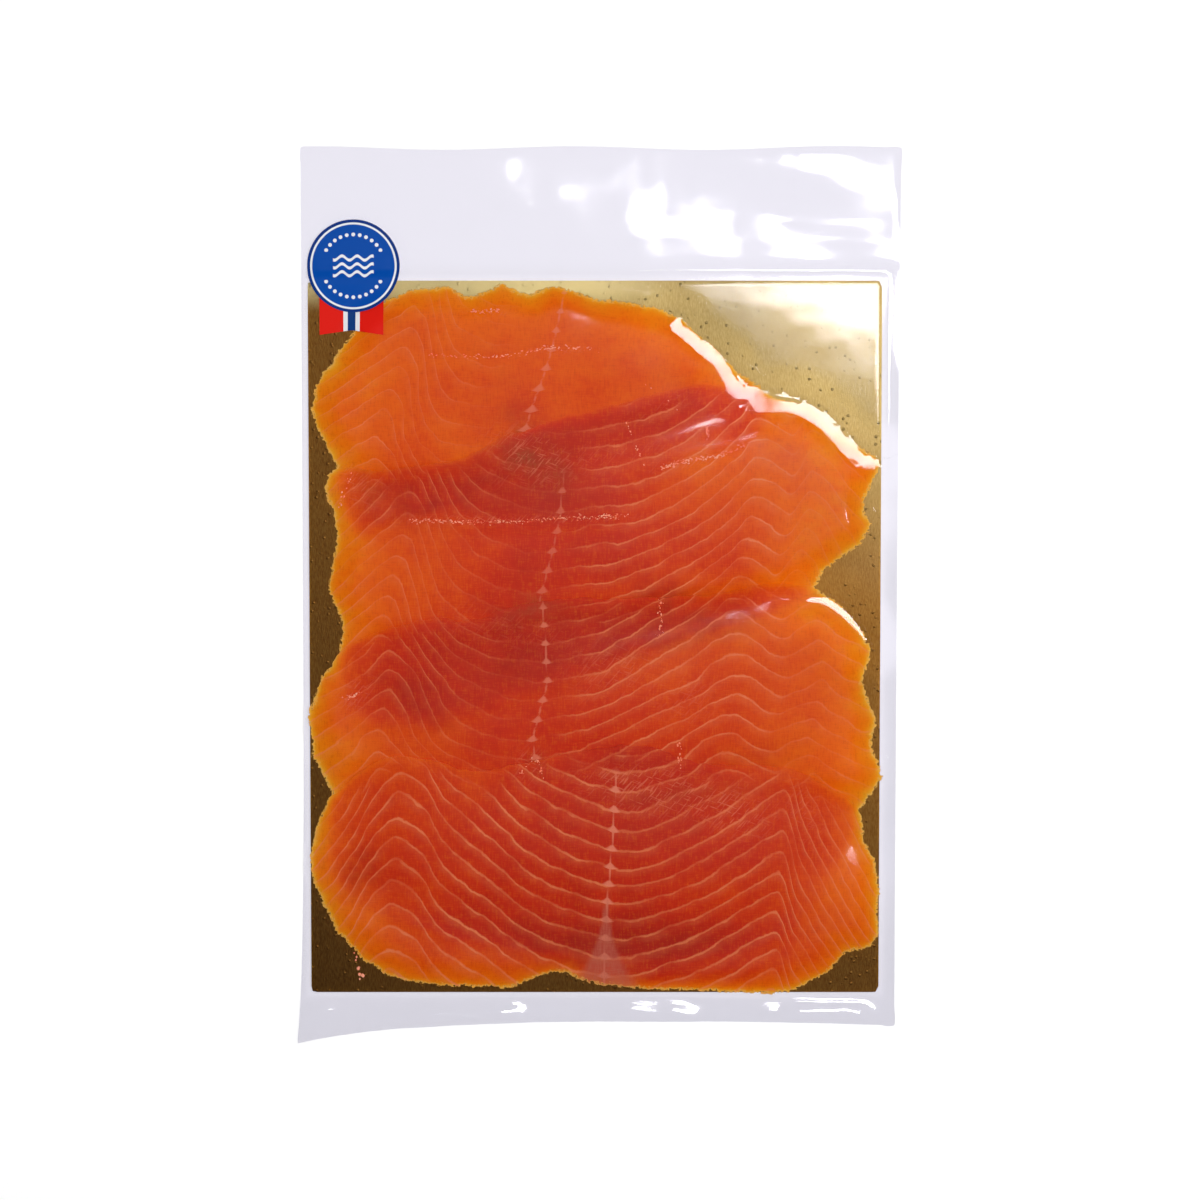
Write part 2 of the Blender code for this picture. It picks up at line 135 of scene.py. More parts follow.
# How much redder the flesh is by the seam, how much a slice beneath deepens it, and how plain
# the seam is.
SEAM_RED = {"slice_1": 0.0, "slice_2": 0.24, "slice_3": 0.2, "slice_4": 0.16}
DEEPENING = {"slice_1": 0.0, "slice_2": 0.27, "slice_3": 0.24, "slice_4": 0.16}
SEAM_STRENGTH = {"slice_1": 0.5, "slice_2": 0.4, "slice_3": 0.6, "slice_4": 0.85}
# Half width in millimetres of the seam's knots at its upper and lower end, and how fine the fat
# lines are, as shares of the spacing from the middle at which they start and are full.
SEAM_KNOTS = {"slice_1": (1.1, 3.2), "slice_2": (1.6, 2.6), "slice_3": (1.7, 2.5),
              "slice_4": (2.4, 3.0)}
FAT_FINENESS = {"slice_1": (0.87, 0.98), "slice_2": (0.83, 0.98), "slice_3": (0.82, 0.97),
                "slice_4": (0.78, 0.96)}
# Places where the flesh is thinner or thicker: across, up, half width, half height, turn, amount.
THIN_SPOTS = (
    (78, 44, 17, 22, 0, -0.09), (81, -18, 13, 20, 0, -0.03), (-78, 76, 18, 26, 0, -0.04),
    (-82, 16, 13, 18, 0, -0.05), (-80, -36, 13, 9, 0, -0.07), (-84, -88, 12, 14, 0, -0.02),
    (-52, 18, 16, 12, -30, -0.06), (30, 30, 30, 14, 0, 0.07), (20, -105, 70, 12, 0, 0.24),
    (28, -114, 40, 6, 0, 0.25), (86, -60, 8, 10, 0, -0.05), (42, 24, 18, 12, 20, 0.08),
    (16, 12, 14, 9, 10, 0.08),
    (42, -4, 14, 8, 20, 0.05), (24, 62, 24, 9, 12, -0.14), (0, 50, 34, 13, 0, -0.09),
    (10, -76, 36, 14, 0, -0.08), (25, -38, 20, 8, 0, 0.09), (55, -20, 26, 12, 0, 0.05),
    (-62, 58, 16, 9, 0, 0.05), (-18, 74, 9, 14, 20, 0.09), (20, -88, 34, 10, 0, -0.06),
    (0, 58, 30, 9, 0, -0.08), (-36, 88, 26, 22, 0, 0.03), (16, 92, 22, 16, 0, 0.03),
    (-66, 34, 10, 8, 0, 0.04), (-84, -24, 8, 7, 0, 0.06),
    (-16, 22, 16, 14, 0, 0.03), (-50, -98, 30, 9, 0, 0.06),
)
# Fine scratches under the film: across, up, half width, half height, turn, strength.
SCRATCHES = (
    (25, -52, 24, 7, -8, 1.0), (48, -60, 10, 6, -20, 0.7), (12, -48, 12, 5, 0, 0.8),
    (6, -10, 14, 8, 20, 0.6), (-35, 40, 26, 1.2, 0, 1.0), (-2, 40.5, 12, 1.0, 2, 0.8),
    (36, 60.5, 16, 1.6, 14, 0.9), (-16, 96, 16, 1.0, 3, 0.7), (-36, 109, 6, 1.2, 0, 0.7),
    (24, 78, 16, 3, 22, 0.35), (0, 60, 40, 5, 12, 0.3), (-80, 52, 6, 8, 40, 0.6),
    (-80, -18, 7, 4, 40, 0.7), (30, -20, 10, 10, 0, 0.35), (70, -60, 5, 12, 20, 0.4),
    (-22, -42, 5, 5, 0, 0.8), (-30, 4, 24, 7, -10, 0.3), (-22, 62, 12, 7, -20, 0.9),
)

# Spots on the flesh: across, up, half width, half height, turn in degrees, strength.
GREY_SPOTS = {
    "slice_1": ((-23, 68, 4, 9, 20, 0.5),),
    "slice_2": ((-22, 60, 17, 6, -22, 0.85), (-20, 8, 5, 8, 20, 0.8), (-75, 49, 4, 7, 35, 0.5),),
    "slice_3": ((-21, 10, 9, 5, 0, 0.75), (-19, -44, 4, 5, 0, 0.8), (24, 12, 3, 3, 0, 0.4),),
    "slice_4": ((-19, -44, 4, 4, 0, 0.4), (30, -52, 26, 4, 4, 0.35), (3, -112, 9, 9, 0, 0.6),),
}
DARK_SPOTS = {
    "slice_1": ((-24, 66, 10, 20, 20, 0.4),),
    "slice_2": ((-58, 47, 20, 9, 0, 0.7), (-30, 52, 22, 9, -15, 0.5), (34, 9, 24, 7, -25, 0.9),
                (-26, 8, 12, 3, -20, 0.7),),
    "slice_3": ((-60, -20, 15, 7, -30, 0.7), (-30, -5, 28, 12, 0, 0.55), (30, 4, 26, 7, 14, 0.9),
                (45, -45, 20, 6, 20, 0.4),),
    "slice_4": ((-78, -78, 6, 9, -30, 0.7), (20, -106, 26, 10, 10, 0.45),
                (-20, -104, 18, 9, -20, 0.45), (0, -82, 30, 16, 0, 0.25),),
}

# Where the film stands off the flesh in a glossy ledge, inside the edge of a slice: its slope in
# degrees and the line along its middle, as across, up and half its width there.
TENTS = (
    (2.9, ((25.9, 107.4, 3.3), (33.1, 100.5, 3.1), (40.6, 94.1, 3.1), (45.4, 87.4, 3.6),
           (49.8, 81.4, 5.0), (55, 79.9, 4.8), (59.8, 79.5, 4.0), (65.6, 78.9, 3.7),
           (72.5, 76.2, 3.6), (78.8, 71.1, 3.7), (83.6, 65.9, 3.7), (88.5, 60.9, 3.4),
           (92.4, 59.5, 3.0), (95.2, 60, 2.0))),
    (6.5, ((69, 13.4, 1.0), (76, 13.6, 2.0), (82, 10.4, 2.2), (87.4, 4.8, 2.0),
           (91.6, -1.6, 1.0))),
)
# Where the film lies dull on what is under it: across, up, half width, half height, turn, share.
DULL_SPOTS = (
    (88, -78, 12, 14, 0, 1.0), (62, 12, 10, 10, 0, 1.0), (45, 66, 9, 9, 0, 0.9),
    (15, 103, 12, 8, 0, 1.0), (84, -40, 12, 14, 0, 1.0), (96, 42, 8, 12, 0, 1.0),
)
# Taut lines in the empty flap: two ends, height and half width.
FLAP_LINES = (
    ((-97, 149.8), (101, 135), 0.10, 0.9), ((-97, 146), (30, 138), 0.06, 0.7),
    ((5, 134), (101, 131.5), 0.08, 0.8), ((30, 141), (101, 137.5), 0.07, 0.6),
)

# The card's foil, and its upper end, which bends down a little.
FOIL_THICKNESS = 0.08 * MM
FOIL_GLUE = 0.005 * MM
CARD_BEND = 0.35 * MM
CARD_BEND_REACH = 9 * MM

# Lines of small air bubbles and juice: places along them, count, length and width of a bead.
BEAD_LINES = (
    (((-61.1, 39.7), (-30, 39.2), (-10, 40.6), (11.7, 41.4)), 230, 0.62, 0.36),
    (((21.7, 57.1), (31.7, 59.8), (40.7, 61.1), (49.7, 64.8)), 120, 0.7, 0.42),
    (((-54.9, 94.6), (-38.3, 94.2), (-24.9, 95.2), (-14.9, 97.2), (1.7, 96.6)), 110, 0.7, 0.34),
    (((-41.5, 109.3), (-31.6, 109.3)), 34, 0.7, 0.36),
    (((-85, 44.4), (-81, 56.4)), 16, 0.7, 0.5),
    (((-77, -17), (-85.4, -20.5)), 16, 0.7, 0.5),
    (((15, 86.5), (35, 69.8)), 10, 0.6, 0.3),
    (((30, 68), (36, 72), (38, 66)), 22, 0.8, 0.5),
    (((-80.4, -106), (-79.4, -111), (-78.6, -116)), 10, 1.3, 1.0),
    (((-26, -46), (-20, -40), (-17, -47)), 24, 0.7, 0.45),
    (((10, 74), (13, 66), (18, 54)), 16, 0.7, 0.4),
    (((21, 15), (22, 8), (21.6, 0)), 22, 0.8, 0.5),
    (((28, -34), (29, -44)), 14, 0.8, 0.5),
)

# The film and the raster on which heights are worked out.
RASTER = 1.0 * MM
FILM_CELL = 1.15 * MM
FILM_THICKNESS = 0.15 * MM
TIGHT_DRAPE = 1.5 * MM
LOOSE_DRAPE = 5 * MM
FILM_GAP = 0.06 * MM
POUCH_DEPTH = 0.3 * MM
WRINKLE = 0.16 * MM
# The ledges: how far back the film is looked at, how evenly and how far they run, and how
# steeply they fall outside, inside and past their ends.
TENT_REACH = 5 * MM
TENT_EVENING = 12 * MM
TENT_FIELD = 14 * MM
OUTER_FALL = 3.0
INNER_FALL = 0.2
END_FALL = 0.5

# The sticker and its print.
STICKER_MIDDLE = (-80.3, 124.3)
RING_RADIUS = 14.05 * MM
RING_HALF_WIDTH = 0.33 * MM
PRINT_GAP = 0.03 * MM
PAPER = 0.12 * MM
PRINT_CELL = 0.8 * MM
STRIPE_BLUR = 0.05 * MM
WAVE_HEIGHTS = (2.6 * MM, 0.0, -2.6 * MM)
WAVE_SWELL = 0.7 * MM
DOT_COUNT = 30
DOT_RADIUS = 10.4 * MM
RIBBON_MIDDLE = -80.9
BLUE_STRIPE_HALF = 1.3 * MM
WHITE_STRIPE_HALF = 2.75 * MM

# Camera and lights.
CAMERA_DISTANCE = 1.2
CAMERA_TILT = math.radians(3.9)
VIEW_WIDTH = 401.3 * MM
VIEW_MIDDLE = (1.7, 13.0)
SENSOR = 36.0
KEY_CORNER = (0.050, 0.145)
KEY_SIZE = (0.4, 0.16)
KEY_TURN = math.radians(-22)
KEY_HEIGHT = 1.2
KEY_RADIANCE = 14.0
FILL_CORNER = (-0.34, -0.36)
FILL_SIZE = (0.9, 0.9)
FILL_HEIGHT = 1.0
FILL_RADIANCE = 1.8
ROOM_CORNER = (-1.0, -1.0)
ROOM_SIZE = (2.0, 2.0)
ROOM_HEIGHT = 1.6
ROOM_RADIANCE = 0.26
DIM_ROOM = 0.015
ROOM_WALLS = 0.6
WALL_TOP = (0.25, 0.62)
FLOOR_GLOW = 0.54
# What the film and the light leave of a colour: red, green and blue.
FILM_SHARE = (0.78, 1.08, 1.2)
PALEST = 0.97
# The film's mirror share seen straight on, and its tint at the lower and the upper end. The darker
# tint at the lower end is painted shade.
STRAIGHT_GLOSS = 0.075
SHADED_LOWER_TINT = (0.90, 0.893, 0.928, 1.0)
LIT_UPPER_TINT = (0.938, 0.93, 0.962, 1.0)


def place(across, up):
    """Metres in the frame of a place given in millimetres from the card's middle."""
    return CARD_MIDDLE + np.array((across, up)) * MM


def places(points):
    return np.array([place(*point) for point in points])


def srgb(red, green, blue):
    """Linear colour of a screen colour given from 0 to 255."""
    channels = []
    for channel in (red, green, blue):
        share = channel / 255
        linear = share / 12.92 if share <= 0.04045 else ((share + 0.055) / 1.055) ** 2.4
        channels.append(linear)
    return (*channels, 1.0)


def seen(red, green, blue):
    """Base colour of a piece that shows as this screen colour under the film."""
    linear = srgb(red, green, blue)
    return (*(min(channel / share, PALEST) for channel, share in zip(linear, FILM_SHARE)), 1.0)


# ---------------------------------------------------------------- outlines and heights

def area_of(loop):
    after = np.roll(loop, -1, axis=0)
    return abs((loop[:, 0] * after[:, 1] - loop[:, 1] * after[:, 0]).sum()) / 2


def outline_of(node):
    """The plan outline of a node: the largest rim of its upper face, as points in order."""
    bm = bmesh.new()
    bm.from_mesh(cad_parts[node].data)
    bmesh.ops.remove_doubles(bm, verts=bm.verts[:], dist=MERGE_GAP)
    bmesh.ops.dissolve_degenerate(bm, edges=bm.edges[:], dist=MERGE_GAP)
    bm.normal_update()
    following = {}
    for face in bm.faces:
        if face.normal.z <= UPPER_FACE:
            continue
        for corner in face.loops:
            other = corner.link_loop_radial_next.face
            if other is face or other.normal.z <= UPPER_FACE:
                following.setdefault(corner.vert, []).append(corner.link_loop_next.vert)
    rims = []
    while following:
        vert = next(iter(following))
        rim = []
        while vert in following:
            rim.append((vert.co.x, vert.co.y))
            after = following[vert].pop()
            if not following[vert]:
                del following[vert]
            vert = after
        rims.append(np.array(rim))
    bm.free()
    return max(rims, key=area_of)


def curve_point(before, start, end, after, t):
    """Place at share t between start and end on a smooth curve through all four points."""
    return 0.5 * (2 * start + (end - before) * t
                  + (2 * before - 5 * start + 4 * end - after) * t * t
                  + (3 * start - before - 3 * end + after) * t ** 3)


def soften_loop(loop, step):
    """A closed smooth curve through the points, read about every step."""
    fine = []
    count = len(loop)
    for index in range(count):
        before, start, end, after = (loop[(index + k - 1) % count] for k in range(4))
        pieces = max(1, round(float(np.linalg.norm(end - start)) / step))
        for piece in range(pieces):
            fine.append(curve_point(before, start, end, after, piece / pieces))
    return np.array(fine)


def soften_line(line, step):
    """An open smooth curve through the points, read about every step."""
    ends = np.vstack((2 * line[0] - line[1], line, 2 * line[-1] - line[-2]))
    fine = []
    for before, start, end, after in zip(ends, ends[1:], ends[2:], ends[3:]):
        pieces = max(1, round(float(np.linalg.norm(end - start)) / step))
        for t in np.arange(pieces) / pieces:
            fine.append(curve_point(before, start, end, after, t))
    return np.array(fine + [line[-1]])


def fray(loop, layer):
    """Moves each point in or out a little, as flesh tears along a cut."""
    along = np.roll(loop, -1, axis=0) - np.roll(loop, 1, axis=0)
    along /= np.linalg.norm(along, axis=1, keepdims=True) + 1e-12
    outward = np.stack((-along[:, 1], along[:, 0]), axis=1)
    shift = []
    for x, y in loop:
        out = 0.0
        for level, (length, reach) in zip((layer, layer + 9), (COARSE_TEARS, FINE_TEARS)):
            out += reach * noise.noise(Vector((x / length, y / length, level)))
        shift.append(out)
    return loop + outward * np.array(shift)[:, None]


def measure(loop, points):
    """Depth of each point inside the loop, negative outside, and the nearest place on it."""
    best = np.full(len(points), np.inf)
    nearest = np.zeros_like(points)
    crossings = np.zeros(len(points), dtype=int)
    for start, end in zip(np.roll(loop, 1, axis=0), loop):
        span = end - start
        length = span @ span
        if length < 1e-16:
            continue
        share = np.clip(((points - start) @ span) / length, 0, 1)
        foot = start + share[:, None] * span
        gap = ((points - foot) ** 2).sum(axis=1)
        closer = gap < best
        best[closer] = gap[closer]
        nearest[closer] = foot[closer]
        if start[1] != end[1]:
            crossed = (start[1] > points[:, 1]) != (end[1] > points[:, 1])
            edge_x = start[0] + (points[:, 1] - start[1]) / span[1] * span[0]
            crossings += crossed & (points[:, 0] < edge_x)
    inside = crossings % 2 == 1
    return np.where(inside, 1, -1) * np.sqrt(best), nearest


def step_up(value):
    """Smooth rise from 0 to 1."""
    value = np.clip(value, 0, 1)
    return value * value * (3 - 2 * value)


POUCH_LOW, POUCH_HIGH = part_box("pouch")
RASTER_X = np.arange(POUCH_LOW[0] - 6 * MM, POUCH_HIGH[0] + 6 * MM, RASTER)
RASTER_Y = np.arange(POUCH_LOW[1] - 6 * MM, POUCH_HIGH[1] + 6 * MM, RASTER)
GRID_X, GRID_Y = np.meshgrid(RASTER_X, RASTER_Y)
GRID_POINTS = np.stack((GRID_X.ravel(), GRID_Y.ravel()), axis=1)


def sample(field, points):
    """Value of a raster field at any points."""
    across = np.clip((points[:, 0] - RASTER_X[0]) / RASTER, 0, len(RASTER_X) - 1.001)
    up = np.clip((points[:, 1] - RASTER_Y[0]) / RASTER, 0, len(RASTER_Y) - 1.001)
    column = across.astype(int)
    row = up.astype(int)
    across = across - column
    up = up - row
    low = field[row, column] * (1 - across) + field[row, column + 1] * across
    high = field[row + 1, column] * (1 - across) + field[row + 1, column + 1] * across
    return low * (1 - up) + high * up


def blur(field, reach):
    """Gaussian blur of a raster field."""
    sigma = reach / RASTER
    half = int(3 * sigma + 1)
    kernel = np.exp(-0.5 * (np.arange(-half, half + 1) / sigma) ** 2)
    kernel /= kernel.sum()
    padded = np.pad(field, half, mode="edge")
    rows = sum(weight * padded[k:k + field.shape[0]] for k, weight in enumerate(kernel))
    return sum(weight * rows[:, k:k + field.shape[1]] for k, weight in enumerate(kernel))


def spread(field, reach):
    """Highest value within reach of each node of a raster field."""
    cells = int(math.ceil(reach / RASTER))
    padded = np.pad(field, cells, mode="edge")
    highest = field.copy()
    for row in range(-cells, cells + 1):
        for column in range(-cells, cells + 1):
            if (row * row + column * column) * RASTER ** 2 <= reach ** 2 * 1.01:
                shifted = padded[cells + row:cells + row + field.shape[0],
                                 cells + column:cells + column + field.shape[1]]
                highest = np.maximum(highest, shifted)
    return highest


def drape(field, reach):
    """A smooth surface that lies on the field without dipping into it."""
    return blur(spread(field, reach), reach / 2.4)


def soft_noise(seed, reach):
    """Smooth random field of unit spread."""
    field = blur(np.random.default_rng(seed).standard_normal(GRID_X.shape), reach)
    return (field - field.mean()) / field.std()


def heights_of(node):
    """Top of a node's solid over the raster."""
    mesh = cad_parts[node].data
    tree = BVHTree.FromPolygons([v.co for v in mesh.vertices],
                                [tuple(p.vertices) for p in mesh.polygons])
    top = np.full(GRID_X.shape, np.nan)
    for row, y in enumerate(RASTER_Y):
        for column, x in enumerate(RASTER_X):
            hit = tree.ray_cast(Vector((x, y, 1.0)), Vector((0, 0, -1)))[0]
            if hit:
                top[row, column] = hit.z
    return top


# ---------------------------------------------------------------- laid pieces

def laid_sheet(name, loop, cell, over, under):
    """A closed sheet cut to the outline. Its faces' heights are functions of the points."""
    low = loop.min(axis=0) - cell
    counts = np.ceil((loop.max(axis=0) + cell - low) / cell).astype(int)
    bpy.ops.object.select_all(action="DESELECT")
    bpy.ops.mesh.primitive_grid_add(
        x_subdivisions=int(counts[0]), y_subdivisions=int(counts[1]), size=1)
    sheet = bpy.context.object
    sheet.name = name
    mesh = sheet.data
    mesh.name = name
    flat = np.empty(len(mesh.vertices) * 3)
    mesh.vertices.foreach_get("co", flat)
    points = low + (flat.reshape(-1, 3)[:, :2] + 0.5) * counts * cell
    depth, nearest = measure(loop, points)
    bm = bmesh.new()
    bm.from_mesh(mesh)
    bm.verts.ensure_lookup_table()
    for vert, (x, y) in zip(bm.verts, points):
        vert.co = (x, y, 0.0)
    outside = dict.fromkeys(
        face for face in bm.faces if sum(depth[vert.index] for vert in face.verts) <= 0)
    for vert in bm.verts:
        beyond = sum(face in outside for face in vert.link_faces)
        if 0 < beyond < len(vert.link_faces):
            vert.co.x, vert.co.y = nearest[vert.index]
    bmesh.ops.delete(bm, geom=list(outside), context="FACES")
    lifted = bmesh.ops.extrude_face_region(bm, geom=bm.faces[:])["geom"]
    upper = {item for item in lifted if isinstance(item, bmesh.types.BMVert)}
    bm.verts.index_update()
    flags = np.array([vert in upper for vert in bm.verts])
    spots = np.array([(vert.co.x, vert.co.y) for vert in bm.verts])
    height = np.where(flags, over(spots), under(spots))
    for vert, z in zip(bm.verts, height):
        vert.co.z = z
    bmesh.ops.recalc_face_normals(bm, faces=bm.faces[:])
    bm.to_mesh(mesh)
    bm.free()
    mesh.polygons.foreach_set("use_smooth", np.ones(len(mesh.polygons), dtype=bool))
    mesh.update()
    mesh.set_sharp_from_angle(angle=SHARP_EDGE)
    return sheet


def plan_points(mesh):
    flat = np.empty(len(mesh.vertices) * 3)
    mesh.vertices.foreach_get("co", flat)
    return flat.reshape(-1, 3)[:, :2]


def give(mesh, name, values):
    """Stores one number for each vertex under a name that a material reads."""
    mesh.attributes.new(name, "FLOAT", "POINT").data.foreach_set("value", values.astype(float))


# ---------------------------------------------------------------- materials

class Paint:
    """One node material, and short ways to add nodes to it."""

    def __init__(self, name):
        self.material = bpy.data.materials.new(name)
        self.material.use_nodes = True
        self.nodes = self.material.node_tree.nodes
        self.links = self.material.node_tree.links
        self.shader = self.nodes["Principled BSDF"]
        self.coordinates = self.node("ShaderNodeTexCoord").outputs["Object"]

    def node(self, kind, **settings):
        node = self.nodes.new(kind)
        for setting, value in settings.items():
            setattr(node, setting, value)
        return node

    def put(self, socket, value):
        if isinstance(value, bpy.types.NodeSocket):
            self.links.new(value, socket)
        else:
            socket.default_value = value

    def math(self, operation, first, second=0.0, clamp=False):
        node = self.node("ShaderNodeMath", operation=operation, use_clamp=clamp)
        self.put(node.inputs[0], first)
        self.put(node.inputs[1], second)
        return node.outputs[0]

    def plus(self, first, second):
        return self.math("ADD", first, second)

    def less(self, first, second):
        return self.math("SUBTRACT", first, second)

    def times(self, first, second, clamp=False):
        return self.math("MULTIPLY", first, second, clamp)

    def rest(self, share):
        """What a share leaves of the whole."""
        return self.less(1.0, share)

    def gap(self, first, second):
        return self.math("ABSOLUTE", self.less(first, second))

    def far(self, first, second):
        """Length of the slanting side over two upright ones."""
        return self.math("SQRT", self.plus(self.times(first, first), self.times(second, second)))

    def split(self, vector):
        """The parts of a vector: across, up and out."""
        parts = self.node("ShaderNodeSeparateXYZ")
        self.put(parts.inputs[0], vector)
        return parts.outputs

    def step(self, value, low, high):
        """Smooth step of a value from low to high."""
        node = self.node("ShaderNodeMapRange", interpolation_type="SMOOTHSTEP")
        self.put(node.inputs["Value"], value)
        node.inputs["From Min"].default_value = low
        node.inputs["From Max"].default_value = high
        return node.outputs["Result"]

    def fall(self, value, low, high):
        """Smooth step down, from 1 at low to 0 at high."""
        return self.rest(self.step(value, low, high))

    def scale(self, value, from_low, from_high, to_low, to_high):
        node = self.node("ShaderNodeMapRange")
        self.put(node.inputs["Value"], value)
        for socket, number in zip(("From Min", "From Max", "To Min", "To Max"),
                                  (from_low, from_high, to_low, to_high)):
            node.inputs[socket].default_value = number
        return node.outputs["Result"]

    def mix(self, share, low, high):
        node = self.node("ShaderNodeMix", data_type="RGBA")
        self.put(node.inputs[0], share)
        self.put(node.inputs[6], low)
        self.put(node.inputs[7], high)
        return node.outputs[2]

    def mapped(self, vector, **sockets):
        mapping = self.node("ShaderNodeMapping")
        self.put(mapping.inputs["Vector"], vector)
        for name, value in sockets.items():
            mapping.inputs[name].default_value = value
        return mapping.outputs[0]

    def cloud(self, vector, detail=2.0):
        """Noise whose features are about one unit of the vector in size."""
        texture = self.node("ShaderNodeTexNoise")
        self.put(texture.inputs["Vector"], vector)
        texture.inputs["Scale"].default_value = 1.0
        texture.inputs["Detail"].default_value = detail
        return texture.outputs["Fac"]

    def noise(self, size, stretch=(1.0, 1.0, 1.0), detail=2.0, turn=0.0):
        """Noise with features of this size, longer by the stretch along each axis."""
        scale = [1 / (size * part) for part in stretch]
        return self.cloud(
            self.mapped(self.coordinates, Rotation=(0, 0, turn), Scale=scale), detail)

    def streaks(self, width, length, turn):
        """Noise drawn out along a line that is turned this far from straight across."""
        turned = self.mapped(self.coordinates, Rotation=(0, 0, -turn))
        scale = (1 / (width * length), 1 / width, 1 / width)
        return self.cloud(self.mapped(turned, Scale=scale), detail=1.0)

    def attribute(self, name):
        return self.node("ShaderNodeAttribute", attribute_name=name).outputs["Fac"]

    def ramp(self, value, stops):
        node = self.node("ShaderNodeValToRGB")
        self.put(node.inputs["Fac"], value)
        elements = node.color_ramp.elements
        while len(elements) < len(stops):
            elements.new(1.0)
        for element, (position, colour) in zip(elements, stops):
            element.position = position
            element.color = colour
        return node.outputs["Color"]

    def bump(self, height, distance):
        node = self.node("ShaderNodeBump")
        self.put(node.inputs["Height"], height)
        node.inputs["Distance"].default_value = distance
        node.inputs["Strength"].default_value = 1.0
        self.links.new(node.outputs["Normal"], self.shader.inputs["Normal"])

    def see_through(self, share, tint):
        """Mixes the shader with clear glass that shows what is behind it."""
        clear = self.node("ShaderNodeBsdfTransparent")
        self.put(clear.inputs["Color"], tint)
        blend = self.node("ShaderNodeMixShader")
        self.put(blend.inputs[0], share)
        self.links.new(self.shader.outputs[0], blend.inputs[1])
        self.links.new(clear.outputs[0], blend.inputs[2])
        output = next(node for node in self.nodes if node.type == "OUTPUT_MATERIAL")
        self.links.new(blend.outputs[0], output.inputs["Surface"])

    def finish(self, **sockets):
        for name, value in sockets.items():
            self.put(self.shader.inputs[name.replace("_", " ")], value)
        return self.material


FLESH_STOPS = (
    (0.00, seen(248, 212, 110)),
    (0.10, seen(248, 184, 40)),
    (0.22, seen(242, 146, 6)),
    (0.36, seen(232, 116, 0)),
    (0.50, seen(216, 89, 2)),
    (0.60, seen(206, 66, 6)),
    (0.70, seen(196, 49, 12)),
    (0.84, seen(182, 42, 15)),
    (1.00, seen(162, 34, 16)),
)


def fat_lines(paint, phase, strength, fineness):
    """Share of pale fat: a thin line at each whole number, with a soft band on its lower side."""
    waver = paint.scale(paint.noise(9 * MM, detail=1), 0.2, 0.8, -0.16, 0.16)
    fine = paint.scale(paint.noise(1.5 * MM, detail=2), 0.2, 0.8, -0.04, 0.04)
    turn = paint.math("FRACT", paint.plus(phase, paint.plus(waver, fine)))
    near = paint.times(paint.gap(turn, 0.5), 2.0)
    line = paint.step(near, *fineness)
    band = paint.times(paint.step(turn, 0.45, 1.0), 0.30)
    patches = paint.scale(paint.noise(9 * MM, detail=3), 0.36, 0.6, 0.3, 1.0)
    share = paint.math("MAXIMUM", line, band)
    return paint.times(paint.times(share, patches), strength)


